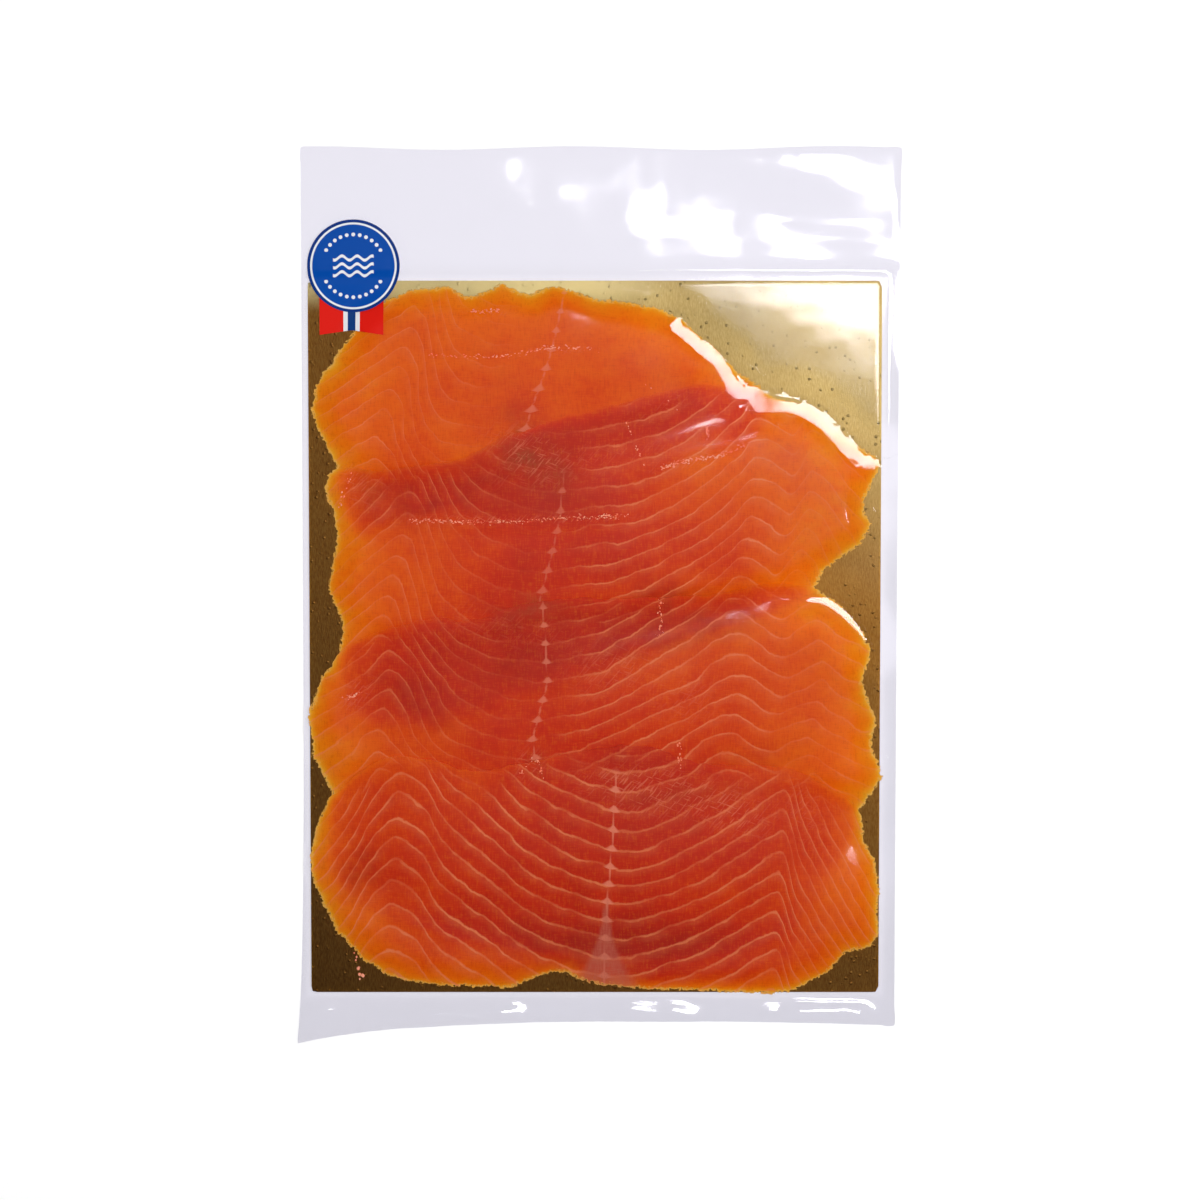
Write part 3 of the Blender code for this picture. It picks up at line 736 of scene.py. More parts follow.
def flesh_material(name, fineness):
    """Cured flesh: yellow where thin, red where deep, with pale fat lines and a pale seam."""
    paint = Paint(name)
    cloud = paint.noise(14 * MM, detail=5)
    mottle = paint.noise(3 * MM, stretch=(1.6, 1, 1), detail=3)
    depth = paint.plus(paint.attribute("flesh"), paint.scale(cloud, 0.2, 0.8, -0.08, 0.08))
    depth = paint.plus(depth, paint.scale(mottle, 0.2, 0.8, -0.035, 0.035))
    colour = paint.ramp(depth, FLESH_STOPS)
    fibres = paint.noise(0.45 * MM, stretch=(1, 7, 1), detail=2, turn=0.08)
    weave = paint.noise(0.45 * MM, stretch=(6, 1, 1), detail=2)
    grain = paint.plus(fibres, paint.times(weave, 0.8))
    colour = paint.mix(paint.scale(grain, 0.9, 1.25, 0.0, 0.26), colour, seen(240, 136, 22))
    colour = paint.mix(paint.scale(grain, 0.88, 0.55, 0.0, 0.26), colour, seen(168, 36, 4))
    patch = paint.scale(paint.noise(5 * MM, stretch=(1.5, 1, 1), detail=4), 0.3, 0.65, 0.3, 1.15)
    dark = paint.times(paint.attribute("dark"), patch, clamp=True)
    colour = paint.mix(dark, colour, seen(142, 28, 18))
    grey = paint.times(paint.attribute("grey"), paint.scale(grain, 0.8, 1.2, 0.6, 1.1))
    grey = paint.times(grey, patch, clamp=True)
    colour = paint.mix(grey, colour, seen(142, 80, 48))
    thin = paint.attribute("thin")
    own = paint.times(paint.attribute("clear"), paint.rest(thin))
    beneath = paint.times(paint.attribute("clear_under"), thin)
    upper_lines = fat_lines(paint, paint.attribute("fat"), own, fineness)
    lower_lines = fat_lines(paint, paint.attribute("fat_under"), beneath, fineness)
    line = paint.math("MAXIMUM", upper_lines, lower_lines)
    colour = paint.mix(paint.times(line, 0.9), colour, seen(238, 146, 94))
    turn = paint.math("FRACT", paint.attribute("fat"))
    above = paint.math("POWER", paint.fall(turn, -0.08, 0.6), 2.0)
    foot = paint.step(turn, 0.9, 0.98)
    away = paint.attribute("seam")
    knot = paint.times(paint.math("MAXIMUM", above, foot), paint.attribute("knot"))
    knot = paint.plus(knot, 0.02)
    knot = paint.fall(paint.math("DIVIDE", away, knot), 0.4, 1.1)
    thread = paint.fall(away, 0.16, 0.55)
    seam = paint.math("MAXIMUM", knot, paint.times(thread, 0.8))
    seam = paint.times(seam, paint.attribute("seam_share"))
    colour = paint.mix(seam, colour, seen(226, 150, 118))
    mauve = paint.times(paint.attribute("mauve"), paint.scale(grain, 0.7, 1.2, 0.7, 1.1))
    colour = paint.mix(mauve, colour, seen(186, 112, 92))
    strokes = paint.streaks(0.62 * MM, 8, 0.85)
    hairs = paint.streaks(0.5 * MM, 9, -0.35)
    scratch = paint.math("MAXIMUM", paint.step(strokes, 0.56, 0.68), paint.step(hairs, 0.6, 0.7))
    scratch = paint.times(scratch, paint.attribute("scratched"))
    colour = paint.mix(paint.times(scratch, 0.42), colour, seen(232, 148, 112))
    torn = paint.scale(paint.noise(1.1 * MM, detail=3), 0.35, 0.75, -0.1, 1.3)
    rim = paint.less(paint.attribute("rim"), torn)
    fringe = paint.fall(rim, 0.1, 0.8)
    colour = paint.mix(paint.times(fringe, 0.7), colour, seen(240, 196, 96))
    paint.bump(paint.plus(grain, line), 0.03 * MM)
    paint.see_through(paint.fall(rim, -0.1, 0.1), (1, 1, 1, 1))
    return paint.finish(Base_Color=colour, Roughness=0.4, Specular_IOR_Level=0.1)


def foil_material():
    """Brushed gold foil, with upright grain and a few shallow dents, a painted sheen that makes it
    paler to the upper right and a painted highlight along its top edge.
    """
    paint = Paint("gold_foil")
    grain = paint.noise(0.26 * MM, stretch=(1, 6, 1), detail=3)
    cloud = paint.noise(30 * MM, detail=2)
    shade = paint.scale(grain, 0.35, 0.65, 0, 1)
    # Painted sheen: the gold is deep and dark at the lower left and pale at the upper right, where
    # the key lamp's sheen falls.
    low = paint.mix(shade, srgb(150, 99, 40), srgb(177, 126, 57))
    high = paint.mix(shade, srgb(176, 150, 88), srgb(197, 172, 110))
    across, up = paint.split(paint.coordinates)[:2]
    toward_painted_sheen = paint.plus(paint.times(across, 0.55), up)
    colour = paint.mix(paint.step(toward_painted_sheen, 0.035, 0.125), low, high)
    # Painted highlight: a near white strip of gold along the top edge, on the left part of the
    # card.
    top = paint.step(up, CARD_HIGH[1] - 11 * MM, CARD_HIGH[1] - 2 * MM)
    left = paint.fall(across, -0.01, 0.03)
    colour = paint.mix(paint.times(top, left), colour, srgb(255, 232, 160))
    dots = paint.node("ShaderNodeTexVoronoi")
    paint.put(dots.inputs["Vector"], paint.coordinates)
    dots.inputs["Scale"].default_value = 1 / (2.6 * MM)
    dents = paint.fall(dots.outputs["Distance"], 0.06, 0.22)
    fine = paint.noise(0.5 * MM, detail=2)
    height = paint.plus(paint.times(grain, 0.3), paint.plus(paint.times(fine, 0.4), dents))
    paint.bump(height, 0.08 * MM)
    rough = paint.scale(paint.plus(grain, cloud), 0.6, 1.4, 0.36, 0.48)
    return paint.finish(Base_Color=colour, Roughness=rough, Metallic=1.0)


def board_material():
    paint = Paint("board")
    fibres = paint.noise(0.9 * MM, stretch=(3, 1, 1), detail=3)
    shade = paint.scale(fibres, 0.3, 0.7, 0, 1)
    colour = paint.mix(shade, srgb(190, 176, 150), srgb(214, 202, 178))
    paint.bump(fibres, 0.02 * MM)
    return paint.finish(Base_Color=colour, Roughness=0.8)


def film_material():
    """Clear glossy film: light passes with a faint lavender tint, which is darker at the lower end
    as painted shade, and gloss comes on top.
    """
    paint = Paint("clear_film")
    cloud = paint.noise(22 * MM, detail=2)
    off = paint.attribute("ledge_off")
    ragged = paint.scale(paint.noise(2.5 * MM, detail=3), 0.3, 0.7, -0.14, 0.14)
    ledge = paint.math("ABSOLUTE", paint.plus(off, ragged))
    ledge = paint.fall(ledge, 0.94, 1.04)

    def along_ledge(length, shift):
        run = paint.node("ShaderNodeCombineXYZ")
        paint.put(run.inputs[0], paint.math("DIVIDE", paint.attribute("ledge_along"), length))
        run.inputs[1].default_value = shift
        return paint.cloud(run.outputs[0])

    middle = paint.scale(along_ledge(7, 3.3), 0.3, 0.7, 0.15, 0.6)
    half = paint.times(paint.step(along_ledge(5, 8.6), 0.42, 0.52), 0.19)
    slit = paint.math("DIVIDE", paint.gap(off, middle), paint.plus(half, 0.01))
    slit = paint.fall(slit, 0.75, 1.15)
    level = paint.scale(paint.noise(6 * MM, detail=2), 0.3, 0.7, 0.46, 0.62)
    level = paint.times(level, paint.rest(slit))
    gloss = paint.math("MAXIMUM", paint.attribute("gloss"), paint.times(ledge, level))
    gloss = paint.times(gloss, paint.rest(paint.times(slit, ledge)))
    weight = paint.node("ShaderNodeLayerWeight")
    grazing = paint.math("POWER", weight.outputs["Facing"], 5.0)
    mirrored = paint.plus(paint.times(grazing, 1 - STRAIGHT_GLOSS), STRAIGHT_GLOSS)
    clear = paint.rest(paint.times(mirrored, gloss))
    # Painted shade: the tint darkens what shows through the film at the lower end of the pack.
    up = paint.split(paint.coordinates)[1]
    tint = paint.mix(paint.step(up, -0.14, 0.06), SHADED_LOWER_TINT, LIT_UPPER_TINT)
    paint.see_through(clear, tint)
    paint.bump(cloud, 0.1 * MM)
    return paint.finish(Base_Color=(1.0, 1.0, 1.0, 1.0), Roughness=0.09, Metallic=1.0)


def sticker_material():
    """Blue paper with a white ring, three waves in the middle and two arcs of dots."""
    paint = Paint("sticker_print")
    middle = place(*STICKER_MIDDLE)
    centred = paint.mapped(paint.coordinates, Location=(-middle[0], -middle[1], 0))
    x, y = paint.split(centred)[:2]
    radius = paint.far(x, y)

    def band(value, centre, half):
        return paint.fall(paint.gap(value, centre), half * 0.8, half * 1.2)

    inner = paint.fall(radius, RING_RADIUS, RING_RADIUS + 0.1 * MM)
    colour = paint.mix(inner, srgb(16, 54, 130), srgb(2, 76, 170))
    ring = band(radius, RING_RADIUS, RING_HALF_WIDTH)
    swell = paint.times(paint.math("SINE", paint.times(x, 1.25 / MM)), WAVE_SWELL)
    bent = paint.less(y, swell)
    short = paint.fall(paint.math("ABSOLUTE", x), 6.6 * MM, 6.9 * MM)
    waves = 0.0
    for height in WAVE_HEIGHTS:
        waves = paint.math("MAXIMUM", waves, band(bent, height, 0.5 * MM))
    waves = paint.times(waves, short)
    angle = paint.math("ARCTAN2", y, x)
    turn = paint.less(paint.math("FRACT", paint.times(angle, DOT_COUNT / math.tau)), 0.5)
    along = paint.times(turn, math.tau * DOT_RADIUS / DOT_COUNT)
    reach = paint.far(along, paint.less(radius, DOT_RADIUS))
    dots = paint.fall(reach, 0.55 * MM, 0.7 * MM)
    dots = paint.times(dots, paint.step(paint.math("ABSOLUTE", y), 4.6 * MM, 4.8 * MM))
    white = paint.math("MAXIMUM", ring, paint.math("MAXIMUM", waves, dots))
    colour = paint.mix(white, colour, srgb(240, 242, 246))
    paper = paint.noise(0.7 * MM, detail=2)
    paint.bump(paper, 0.01 * MM)
    return paint.finish(Base_Color=colour, Roughness=0.4, Specular_IOR_Level=0.06)


def ribbon_material():
    """Red ribbon with a blue stripe between two white ones."""
    paint = Paint("ribbon_print")
    across = paint.split(paint.coordinates)[0]
    off = paint.gap(across, float(place(RIBBON_MIDDLE, 0)[0]))
    red = paint.step(off, WHITE_STRIPE_HALF - STRIPE_BLUR, WHITE_STRIPE_HALF + STRIPE_BLUR)
    white = paint.step(off, BLUE_STRIPE_HALF - STRIPE_BLUR, BLUE_STRIPE_HALF + STRIPE_BLUR)
    colour = paint.mix(white, srgb(20, 62, 128), srgb(238, 238, 242))
    colour = paint.mix(red, colour, srgb(230, 30, 20))
    paint.bump(paint.noise(0.7 * MM, detail=2), 0.01 * MM)
    return paint.finish(Base_Color=colour, Roughness=0.4, Specular_IOR_Level=0.06)


def bead_material():
    """Beads of juice and air under the film."""
    paint = Paint("juice_bead")
    tone = paint.scale(paint.noise(3 * MM, detail=1), 0.3, 0.7, 0, 1)
    colour = paint.mix(tone, seen(224, 120, 84), seen(240, 176, 150))
    return paint.finish(Base_Color=colour, Roughness=0.3, Specular_IOR_Level=0.2)


# ---------------------------------------------------------------- the slices

def spots(points, entries):
    """Sum of soft oval spots over the points, at most 1."""
    total = np.zeros(len(points))
    for across, up, half_width, half_height, turn, strength in entries:
        offset = (points - place(across, up)) / MM
        angle = math.radians(turn)
        along = offset[:, 0] * math.cos(angle) + offset[:, 1] * math.sin(angle)
        aside = -offset[:, 0] * math.sin(angle) + offset[:, 1] * math.cos(angle)
        total += strength * np.exp(-(along / half_width) ** 2 - (aside / half_height) ** 2)
    return np.clip(total, -1, 1)


def septum_across(name, up):
    """Where the seam lies at each height, in millimetres from the card's middle."""
    seam = np.array(SEPTA[name])[::-1]
    return np.interp(up, seam[:, 1], seam[:, 0])


def fat_phase(name, points):
    """Number of the fat line at each point: whole numbers lie on a line."""
    flat = (points - CARD_MIDDLE) / MM
    across = flat[:, 0] - septum_across(name, flat[:, 1])
    stations = np.arange(-120, 121, 0.5)
    profile = np.array(FAT_RISE[name])
    rise = np.interp(stations, profile[:, 0], profile[:, 1])
    kernel = np.exp(-0.5 * (np.arange(-10, 11) * 0.5 / PEAK_ROUNDING) ** 2)
    rise = np.convolve(rise, kernel / kernel.sum(), mode="same")
    rise = np.interp(across, stations, rise)
    growth = FAT_GROWTH[name]
    anchor = FAT_CROSSING[name]
    crossing = (flat[:, 1] - rise * (1 - growth * anchor)) / (1 + growth * rise)
    return (crossing - anchor) / FAT_SPACING[name], across


def fat_strength(name, across):
    table = np.array(FAT_STRENGTH[name])
    return np.interp(across, table[:, 0], table[:, 1])


def lay_slices():
    """Outline, thickness and place in the pile of each slice, from the lowest up."""
    laid = {}
    for layer, name in enumerate(SLICES):
        loop = fray(soften_loop(outline_of(name), OUTLINE_STEP), 3.7 * layer)
        depth = measure(loop, GRID_POINTS)[0].reshape(GRID_X.shape)
        laid[name] = {"loop": loop, "depth": depth}
    layers = blur(sum((laid[name]["depth"] > 0).astype(float) for name in SLICES), PRESS_REACH)
    pressed = 1 / (1 + LAP_PRESS * np.clip(layers - 1, 0, None))
    pile = np.full(GRID_X.shape, CARD_HIGH[2])
    flesh = np.zeros(GRID_X.shape)
    for layer, name in enumerate(SLICES):
        depth = laid[name]["depth"]
        others = [laid[other]["depth"] > 0 for other in SLICES if other != name]
        lapped = blur(np.any(others, axis=0).astype(float), LAP_REACH)
        taper = RIM_TAPER + (LAP_TAPER - RIM_TAPER) * lapped
        swell = SLICE_SWELL * soft_noise(40 + layer, 9 * MM)
        share = np.clip(depth / taper, 0, 1)
        full = (SLICE_FULL + swell) * pressed
        thick = SLICE_EDGE + (full - SLICE_EDGE) * blur(share, RIM_BLUR)
        under = drape(pile, SLICE_DRAPE) + SLICE_GAP
        over = under + thick
        thin = 0.5 * np.exp(-depth / THIN_RIM) + 0.5 * np.exp(-depth / THIN_FIELD)
        own = np.clip(1 - thin, 0, 1)
        laid[name].update(under=under, over=over, below=flesh.copy(), own=own)
        flesh = flesh + own
        pile = np.where(depth > -0.5 * MM, np.maximum(pile, over), pile)
    return laid, pile


def make_slice(name, laid):
    record = laid[name]
    piece = laid_sheet(name + "_flesh", record["loop"], RASTER,
                       lambda points: sample(record["over"], points),
                       lambda points: sample(record["under"], points))
    mesh = piece.data
    points = plan_points(mesh)
    phase, across = fat_phase(name, points)
    warp = sample(soft_noise(70 + SLICES.index(name), 9 * MM), points)
    own = sample(record["own"], points)
    below = sample(blur(record["below"], 1.6 * MM), points)
    centre = np.exp(-(across / 38) ** 2)
    depth = sample(record["depth"], points) / MM
    total = own + below
    amount = 0.50 * np.minimum(total, 1) + DEEPENING[name] * np.clip(total - 1, 0, 1)
    lower = SLICES[max(SLICES.index(name) - 1, 0)]
    beneath = SEAM_RED[lower] * (1 - own) * np.minimum(below, 1)
    amount = amount + (SEAM_RED[name] * own + beneath) * centre + 0.015 * warp
    amount = amount + spots(points, THIN_SPOTS) * np.minimum(total, 1)
    give(mesh, "flesh", np.clip(amount, 0, 1))
    give(mesh, "fat", phase + 0.10 * warp)
    give(mesh, "clear", fat_strength(name, across))
    phase_under, across_under = fat_phase(lower, points)
    give(mesh, "fat_under", phase_under)
    give(mesh, "clear_under", 0.7 * fat_strength(lower, across_under))
    ragged = depth + 1.5 * sample(soft_noise(90, 3 * MM), points)
    give(mesh, "thin", (1 - step_up((ragged - 0.5) / 7)) * step_up(below * 1.6))
    up = (points[:, 1] - CARD_MIDDLE[1]) / MM
    low, high = SEPTA[name][-1][1], SEPTA[name][0][1]
    fallen = np.clip((high - up) / (high - low), 0, 1)
    first, last = SEAM_KNOTS[name]
    knot = first + (last - first) * fallen
    mauve = np.zeros(len(points))
    if name == "slice_4":
        wide = 0.5 + 7.6 * (np.clip(-88 - up, 0, None) / 26) ** 2.2
        inward = 1.25 - (np.abs(across) + 0.5 * warp) / wide
        mauve = step_up((-84 - up) / 8) * np.clip(1.5 * inward, 0, 0.66)
    give(mesh, "seam", np.abs(across))
    give(mesh, "knot", knot)
    shown = step_up((high + 2 - up) / 6) * step_up((up - low + 6) / 6)
    give(mesh, "seam_share", SEAM_STRENGTH[name] * shown)
    give(mesh, "mauve", mauve)
    give(mesh, "rim", np.clip(depth, 0, 8) + 8 * step_up(below * 2.5))
    give(mesh, "dark", 0.5 * spots(points, DARK_SPOTS[name]))
    give(mesh, "grey", 0.7 * spots(points, GREY_SPOTS[name]))
    give(mesh, "scratched", spots(points, SCRATCHES))
    mesh.materials.append(flesh_material(name + "_flesh", FAT_FINENESS[name]))
    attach(piece, "root")
    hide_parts(name)


# ---------------------------------------------------------------- the card

def make_card():
    """Board core with a foil skin on top."""
    loop = outline_of("card")

    def surface(points):
        near = np.clip(1 - (CARD_HIGH[1] - points[:, 1]) / CARD_BEND_REACH, 0, 1)
        return CARD_HIGH[2] - CARD_BEND * near ** 2

    foil = laid_sheet("card_foil", loop, 2 * MM, surface,
                      lambda points: surface(points) - FOIL_THICKNESS)
    foil.data.materials.append(foil_material())
    board = laid_sheet(
        "card_board", loop, 3 * MM,
        lambda points: surface(points) - FOIL_THICKNESS - FOIL_GLUE,
        lambda points: np.full(len(points), CARD_LOW[2]))
    board.data.polygons.foreach_set("use_smooth", np.zeros(len(board.data.polygons), dtype=bool))
    board.data.materials.append(board_material())
    for piece in (foil, board):
        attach(piece, "root")
        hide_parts("card")


# ---------------------------------------------------------------- the film

def beside_path(points, path):
    """Distance of each point from a line, its offset to the left, and the way gone along it."""
    best = np.full(len(points), np.inf)
    offset = np.zeros(len(points))
    gone = np.zeros(len(points))
    travelled = 0.0
    for start, end in zip(path[:-1], path[1:]):
        span = end - start
        length = np.linalg.norm(span)
        share = np.clip(((points - start) @ span) / length ** 2, 0, 1)
        foot = start + share[:, None] * span
        gap = np.linalg.norm(points - foot, axis=1)
        closer = gap < best
        side = np.array((-span[1], span[0])) / length
        best[closer] = gap[closer]
        offset[closer] = ((points - foot) @ side)[closer]
        gone[closer] = (travelled + share * length)[closer]
        travelled += length
    return best, offset, gone


def read_path(entries):
    """A smooth line through the entries, its left side, the way gone and the half width."""
    entries = np.array(entries)
    fine = soften_line(entries, 1.0)
    line = places(fine[:, :2])
    along = np.gradient(line, axis=0)
    along /= np.linalg.norm(along, axis=1, keepdims=True)
    left = np.stack((-along[:, 1], along[:, 0]), axis=1)
    steps = np.linalg.norm(np.diff(line, axis=0), axis=1)
    return line, left, np.concatenate(((0,), np.cumsum(steps))), fine[:, 2] * MM


def smooth_along(values, gone, reach):
    """Gaussian mean of values along a line."""
    weights = np.exp(-0.5 * ((gone[:, None] - gone[None, :]) / reach) ** 2)
    return (weights @ values) / weights.sum(axis=1)


def pitch_tents(film):
    """Holds the film out in a ledge along each tent line, with a steep end at its outer side."""
    for slope, entries in TENTS:
        line, left, stations, halves = read_path(entries)
        fall = math.tan(math.radians(slope))
        level = np.zeros(len(line))
        for share in np.linspace(-1, 1, 9):
            aside = share * halves - (1 - share) * TENT_REACH / 2
            height = sample(film, line + left * aside[:, None])
            level = np.maximum(level, height + fall * np.clip(aside + halves, 0, None))
        level = smooth_along(level, stations, TENT_EVENING)
        best, offset, gone = beside_path(GRID_POINTS, line)
        half = np.interp(gone, stations, halves)
        ledge = np.interp(gone, stations, level) - fall * np.clip(offset + half, 0, 2 * half)
        ledge = ledge - np.clip(offset - half - 0.4 * MM, 0, None) * OUTER_FALL
        ledge = ledge - np.clip(-offset - half - 2 * MM, 0, None) * INNER_FALL
        past_end = np.sqrt(np.clip(best ** 2 - offset ** 2, 0, None))
        ledge = ledge - END_FALL * past_end
        use = (best < TENT_FIELD).reshape(film.shape)
        film = np.where(use, np.maximum(film, ledge.reshape(film.shape)), film)
    return film


def beyond_card(across, up):
    """How far each place is outside the card's sides, less than 0 inside."""
    return np.maximum(np.abs(across - CARD_MIDDLE[0]) - CARD_HALF[0],
                      np.abs(up - CARD_MIDDLE[1]) - CARD_HALF[1])


def give_gloss(mesh, points):
    """Where the film is glossy: on the ledges, and away from what it lies tight on."""
    gloss = 1 - np.clip(spots(points, DULL_SPOTS), 0, 1)
    edge = beyond_card(points[:, 0], points[:, 1])
    gloss = gloss * (1 - 0.75 * np.exp(-(edge / (1.8 * MM)) ** 2))
    gloss = gloss * (1 - 0.5 * step_up((points[:, 1] - CARD_HIGH[1]) / (6 * MM)))
    off = np.full(len(points), 9.0)
    along = np.zeros(len(points))
    for index, (_, entries) in enumerate(TENTS):
        line, _, stations, halves = read_path(entries)
        best, offset, gone = beside_path(points, line)
        half = np.interp(gone, stations, halves)
        past_end = np.sqrt(np.clip(best ** 2 - offset ** 2, 0, None))
        reach = offset / half
        reach = np.where(past_end > 0, np.sign(offset) * (np.abs(reach) + past_end / MM), reach)
        near = best < TENT_FIELD
        off = np.where(near, reach, off)
        along = np.where(near, gone / MM + 90 * index, along)
        gloss = gloss * (1 - np.exp(-((best / MM) / 12.5) ** 8))
    give(mesh, "gloss", gloss)
    give(mesh, "ledge_off", off)
    give(mesh, "ledge_along", along)


def film_heights(pile):
    """Height of the front film over the raster, and of the back film."""
    sheet = heights_of("pouch")
    missing = np.isnan(sheet)
    margin = np.where(missing, np.nanmedian(sheet), sheet)
    margin = blur(margin, 1.2 * MM)
    beyond = beyond_card(GRID_X, GRID_Y)
    contents = np.where(beyond < 0.3 * MM, np.maximum(pile, CARD_HIGH[2]), margin)
    contents = np.where(pile > CARD_HIGH[2] + 1e-6, pile, contents)
    inner = np.max([laid[name]["depth"] for name in SLICES], axis=0)
    loose = step_up(inner / (9 * MM))
    film = drape(contents, TIGHT_DRAPE) * (1 - loose) + drape(contents, LOOSE_DRAPE) * loose
    wrinkles = 0.6 * soft_noise(5, 4.5 * MM) + 0.8 * soft_noise(6, 11 * MM)
    free = step_up((beyond / MM - 1.5) / 6)
    film = pitch_tents(film)
    low_end = step_up((CARD_LOW[1] - GRID_Y) / (5 * MM))
    ripples = soft_noise(8, 2.6 * MM)
    waves = WRINKLE * free * (wrinkles + 1.6 + low_end * (1.2 * wrinkles + 1.1 * ripples + 3))
    film = film + FILM_GAP + waves
    for start, end, height, half_width in FLAP_LINES:
        best = beside_path(GRID_POINTS, places((start, end)))[0]
        ridge = height * MM * np.exp(-(best / (half_width * MM)) ** 2)
        film = film + ridge.reshape(film.shape)
    back = np.minimum(margin - POUCH_DEPTH, film - FILM_THICKNESS)
    back = back + waves
    return film, np.clip(back, 0, None)


def make_film(film, back):
    loop = soften_loop(outline_of("pouch"), 2 * MM)
    bag = laid_sheet("pouch_film", loop, FILM_CELL,
                     lambda points: np.maximum(sample(film, points), sample(back, points)
                                               + FILM_THICKNESS),
                     lambda points: sample(back, points))
    give_gloss(bag.data, plan_points(bag.data))
    bag.data.materials.append(film_material())
    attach(bag, "root")
    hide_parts("pouch")


# ---------------------------------------------------------------- sticker and ribbon

def make_ribbon(film):
    under = film + PRINT_GAP
    ribbon = laid_sheet("ribbon_strip", outline_of("ribbon"), PRINT_CELL,
                        lambda points: sample(under, points) + PAPER,
                        lambda points: sample(under, points))
    ribbon.data.materials.append(ribbon_material())
    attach(ribbon, "root")
    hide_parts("ribbon")


def make_sticker(film):
    ribbon_depth = measure(outline_of("ribbon"), GRID_POINTS)[0].reshape(GRID_X.shape)
    stacked = np.where(ribbon_depth > -1 * MM, film + PRINT_GAP + PAPER, film)
    under = drape(stacked, TIGHT_DRAPE) + PRINT_GAP
    rim = soften_loop(outline_of("sticker"), PRINT_CELL)
    disc = laid_sheet("sticker_disc", rim, PRINT_CELL,
                      lambda points: sample(under, points) + PAPER,
                      lambda points: sample(under, points))
    disc.data.materials.append(sticker_material())
    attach(disc, "root")
    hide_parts("sticker")


def make_beads(film):
    """Small flat beads in loose lines under the film."""
    rng = np.random.default_rng(12)
    bm = bmesh.new()
    for path, count, length, width in BEAD_LINES:
        line = soften_line(places(path), 0.5 * MM)
        for share in rng.uniform(0, 1, count) * (len(line) - 2):
            index = int(share)
            step = line[index + 1] - line[index]
            spot = line[index] + step * (share - index) + rng.normal(0, 0.4 * MM, 2)
            angle = math.atan2(step[1], step[0]) + rng.normal(0, 0.35)
            size = rng.uniform(0.35, 1.25)
            height = float(sample(film, spot[None, :])[0])
            shape = (Matrix.Translation((spot[0], spot[1], height))
                     @ Matrix.Rotation(angle, 4, "Z")
                     @ Matrix.Diagonal((length * size * MM, width * size * MM, 0.12 * MM, 1)))
            bmesh.ops.create_icosphere(bm, subdivisions=2, radius=0.5, matrix=shape)
    mesh = bpy.data.meshes.new("juice_beads")
    bm.to_mesh(mesh)
    bm.free()
    mesh.polygons.foreach_set("use_smooth", np.ones(len(mesh.polygons), dtype=bool))
    beads = bpy.data.objects.new("juice_beads", mesh)
    bpy.context.collection.objects.link(beads)
    mesh.materials.append(bead_material())
    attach(beads, "root")


# ---------------------------------------------------------------- camera and light

def make_camera():
    middle = place(*VIEW_MIDDLE)
    target = Vector((middle[0], middle[1], CARD_HIGH[2]))
    away = Vector((0, math.sin(CAMERA_TILT), math.cos(CAMERA_TILT)))
    camera = bpy.data.objects.new("camera", bpy.data.cameras.new("camera"))
    bpy.context.collection.objects.link(camera)
    camera.location = target + away * CAMERA_DISTANCE
    camera.rotation_euler = (-CAMERA_TILT, 0, 0)
    camera.data.sensor_width = SENSOR
    camera.data.lens = SENSOR * CAMERA_DISTANCE / VIEW_WIDTH
    bpy.context.scene.camera = camera


def softbox(name, corner, size, height, radiance, turn=0.0, mirrored=True):
    """A lamp that faces straight down. Its lower left corner is given, then it is turned there."""
    along = np.array((math.cos(turn), math.sin(turn)))
    aside = np.array((-math.sin(turn), math.cos(turn)))
    middle = np.array(corner) + along * size[0] / 2 + aside * size[1] / 2
    light = bpy.data.lights.new(name, "AREA")
    light.shape = "RECTANGLE"
    light.size, light.size_y = size
    light.energy = radiance * 4 * size[0] * size[1]
    lamp = bpy.data.objects.new(name, light)
    bpy.context.collection.objects.link(lamp)
    lamp.location = (middle[0], middle[1], height)
    lamp.rotation_euler = (0, 0, turn)
    lamp.visible_glossy = mirrored


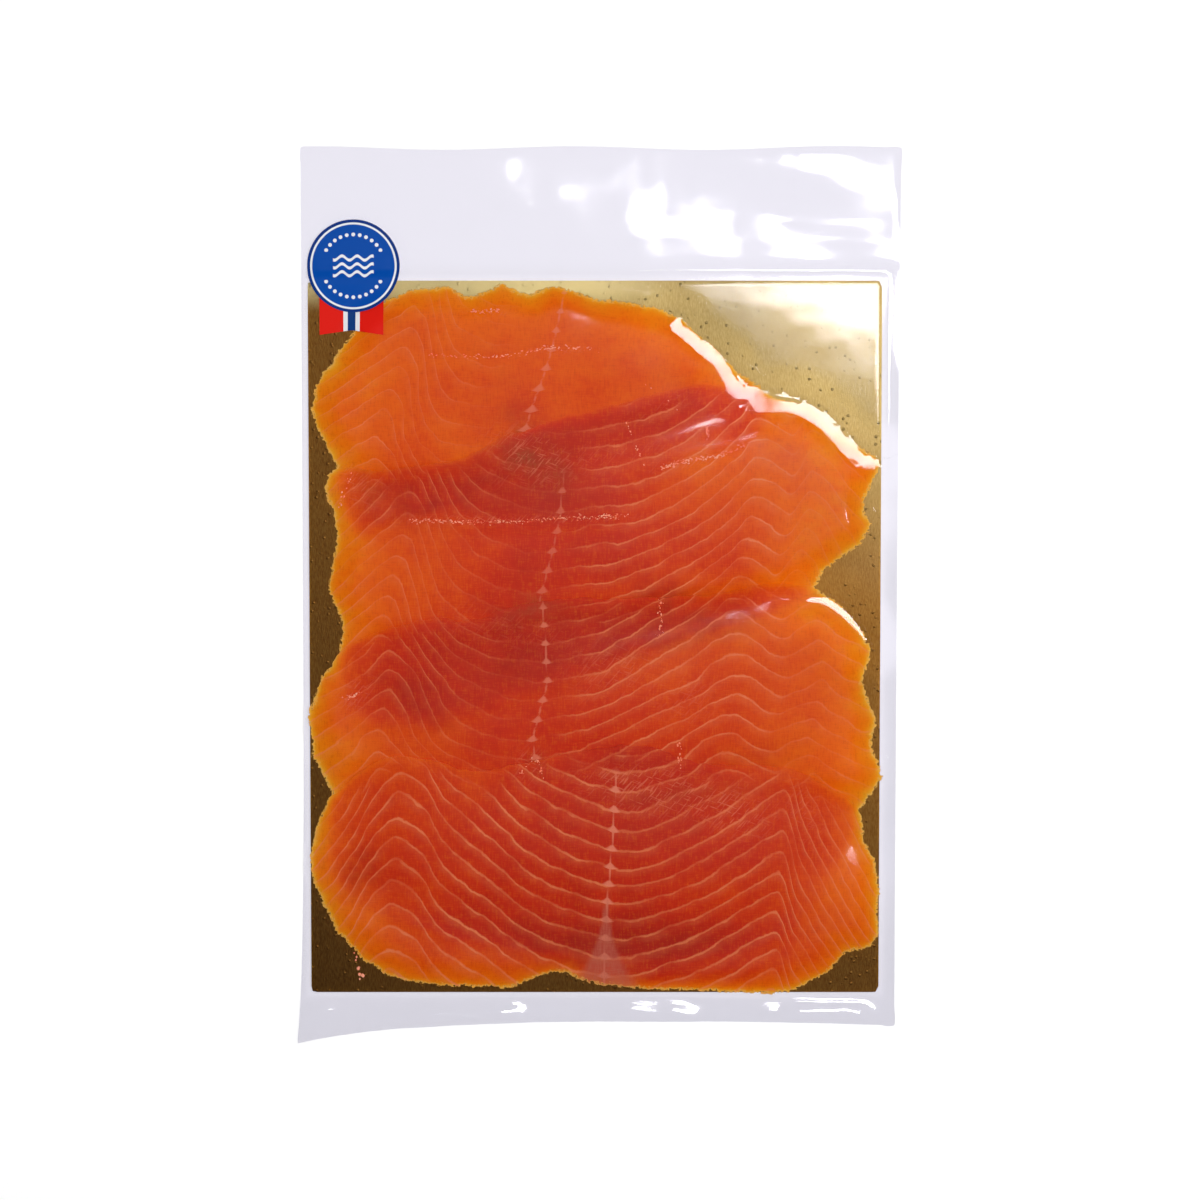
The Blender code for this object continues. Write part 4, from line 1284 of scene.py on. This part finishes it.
def make_stage():
    """Glowing white floor, three lamps, and walls that only light and gloss can see."""
    bpy.ops.object.select_all(action="DESELECT")
    bpy.ops.mesh.primitive_plane_add(size=8, location=(0, 0, -0.0002))
    floor = bpy.context.object
    floor.name = "floor"
    paint = Paint("white_floor")
    floor.data.materials.append(paint.finish(
        Base_Color=(0.6, 0.6, 0.6, 1.0), Roughness=0.8,
        Emission_Color=(1.0, 1.0, 1.0, 1.0), Emission_Strength=FLOOR_GLOW))
    softbox("key", KEY_CORNER, KEY_SIZE, KEY_HEIGHT, KEY_RADIANCE, turn=KEY_TURN)
    softbox("fill", FILL_CORNER, FILL_SIZE, FILL_HEIGHT, FILL_RADIANCE, mirrored=False)
    softbox("room", ROOM_CORNER, ROOM_SIZE, ROOM_HEIGHT, ROOM_RADIANCE, mirrored=False)
    world = bpy.data.worlds.new("studio")
    bpy.context.scene.world = world
    world.use_nodes = True
    tree = world.node_tree
    background = tree.nodes["Background"]
    ray = tree.nodes.new("ShaderNodeLightPath")
    level = tree.nodes.new("ShaderNodeMapRange")
    level.inputs["To Max"].default_value = 1.0
    tree.links.new(ray.outputs["Is Camera Ray"], level.inputs["Value"])
    sky_place = tree.nodes.new("ShaderNodeTexCoord")
    parts = tree.nodes.new("ShaderNodeSeparateXYZ")
    tree.links.new(sky_place.outputs["Generated"], parts.inputs[0])
    low_sky = tree.nodes.new("ShaderNodeMapRange")
    low_sky.interpolation_type = "SMOOTHSTEP"
    tree.links.new(parts.outputs[2], low_sky.inputs["Value"])
    for socket, number in zip(("From Min", "From Max", "To Min", "To Max"),
                              (*WALL_TOP, ROOM_WALLS, DIM_ROOM)):
        low_sky.inputs[socket].default_value = number
    tree.links.new(low_sky.outputs["Result"], level.inputs["To Min"])
    tree.links.new(level.outputs["Result"], background.inputs["Strength"])
    background.inputs["Color"].default_value = (1, 1, 1, 1)
    bpy.context.scene.view_settings.view_transform = "Standard"


laid, pile = lay_slices()
make_card()
for name in SLICES:
    make_slice(name, laid)
film, back = film_heights(pile)
make_film(film, back)
make_ribbon(film)
make_sticker(film)
make_beads(film)
make_camera()
make_stage()
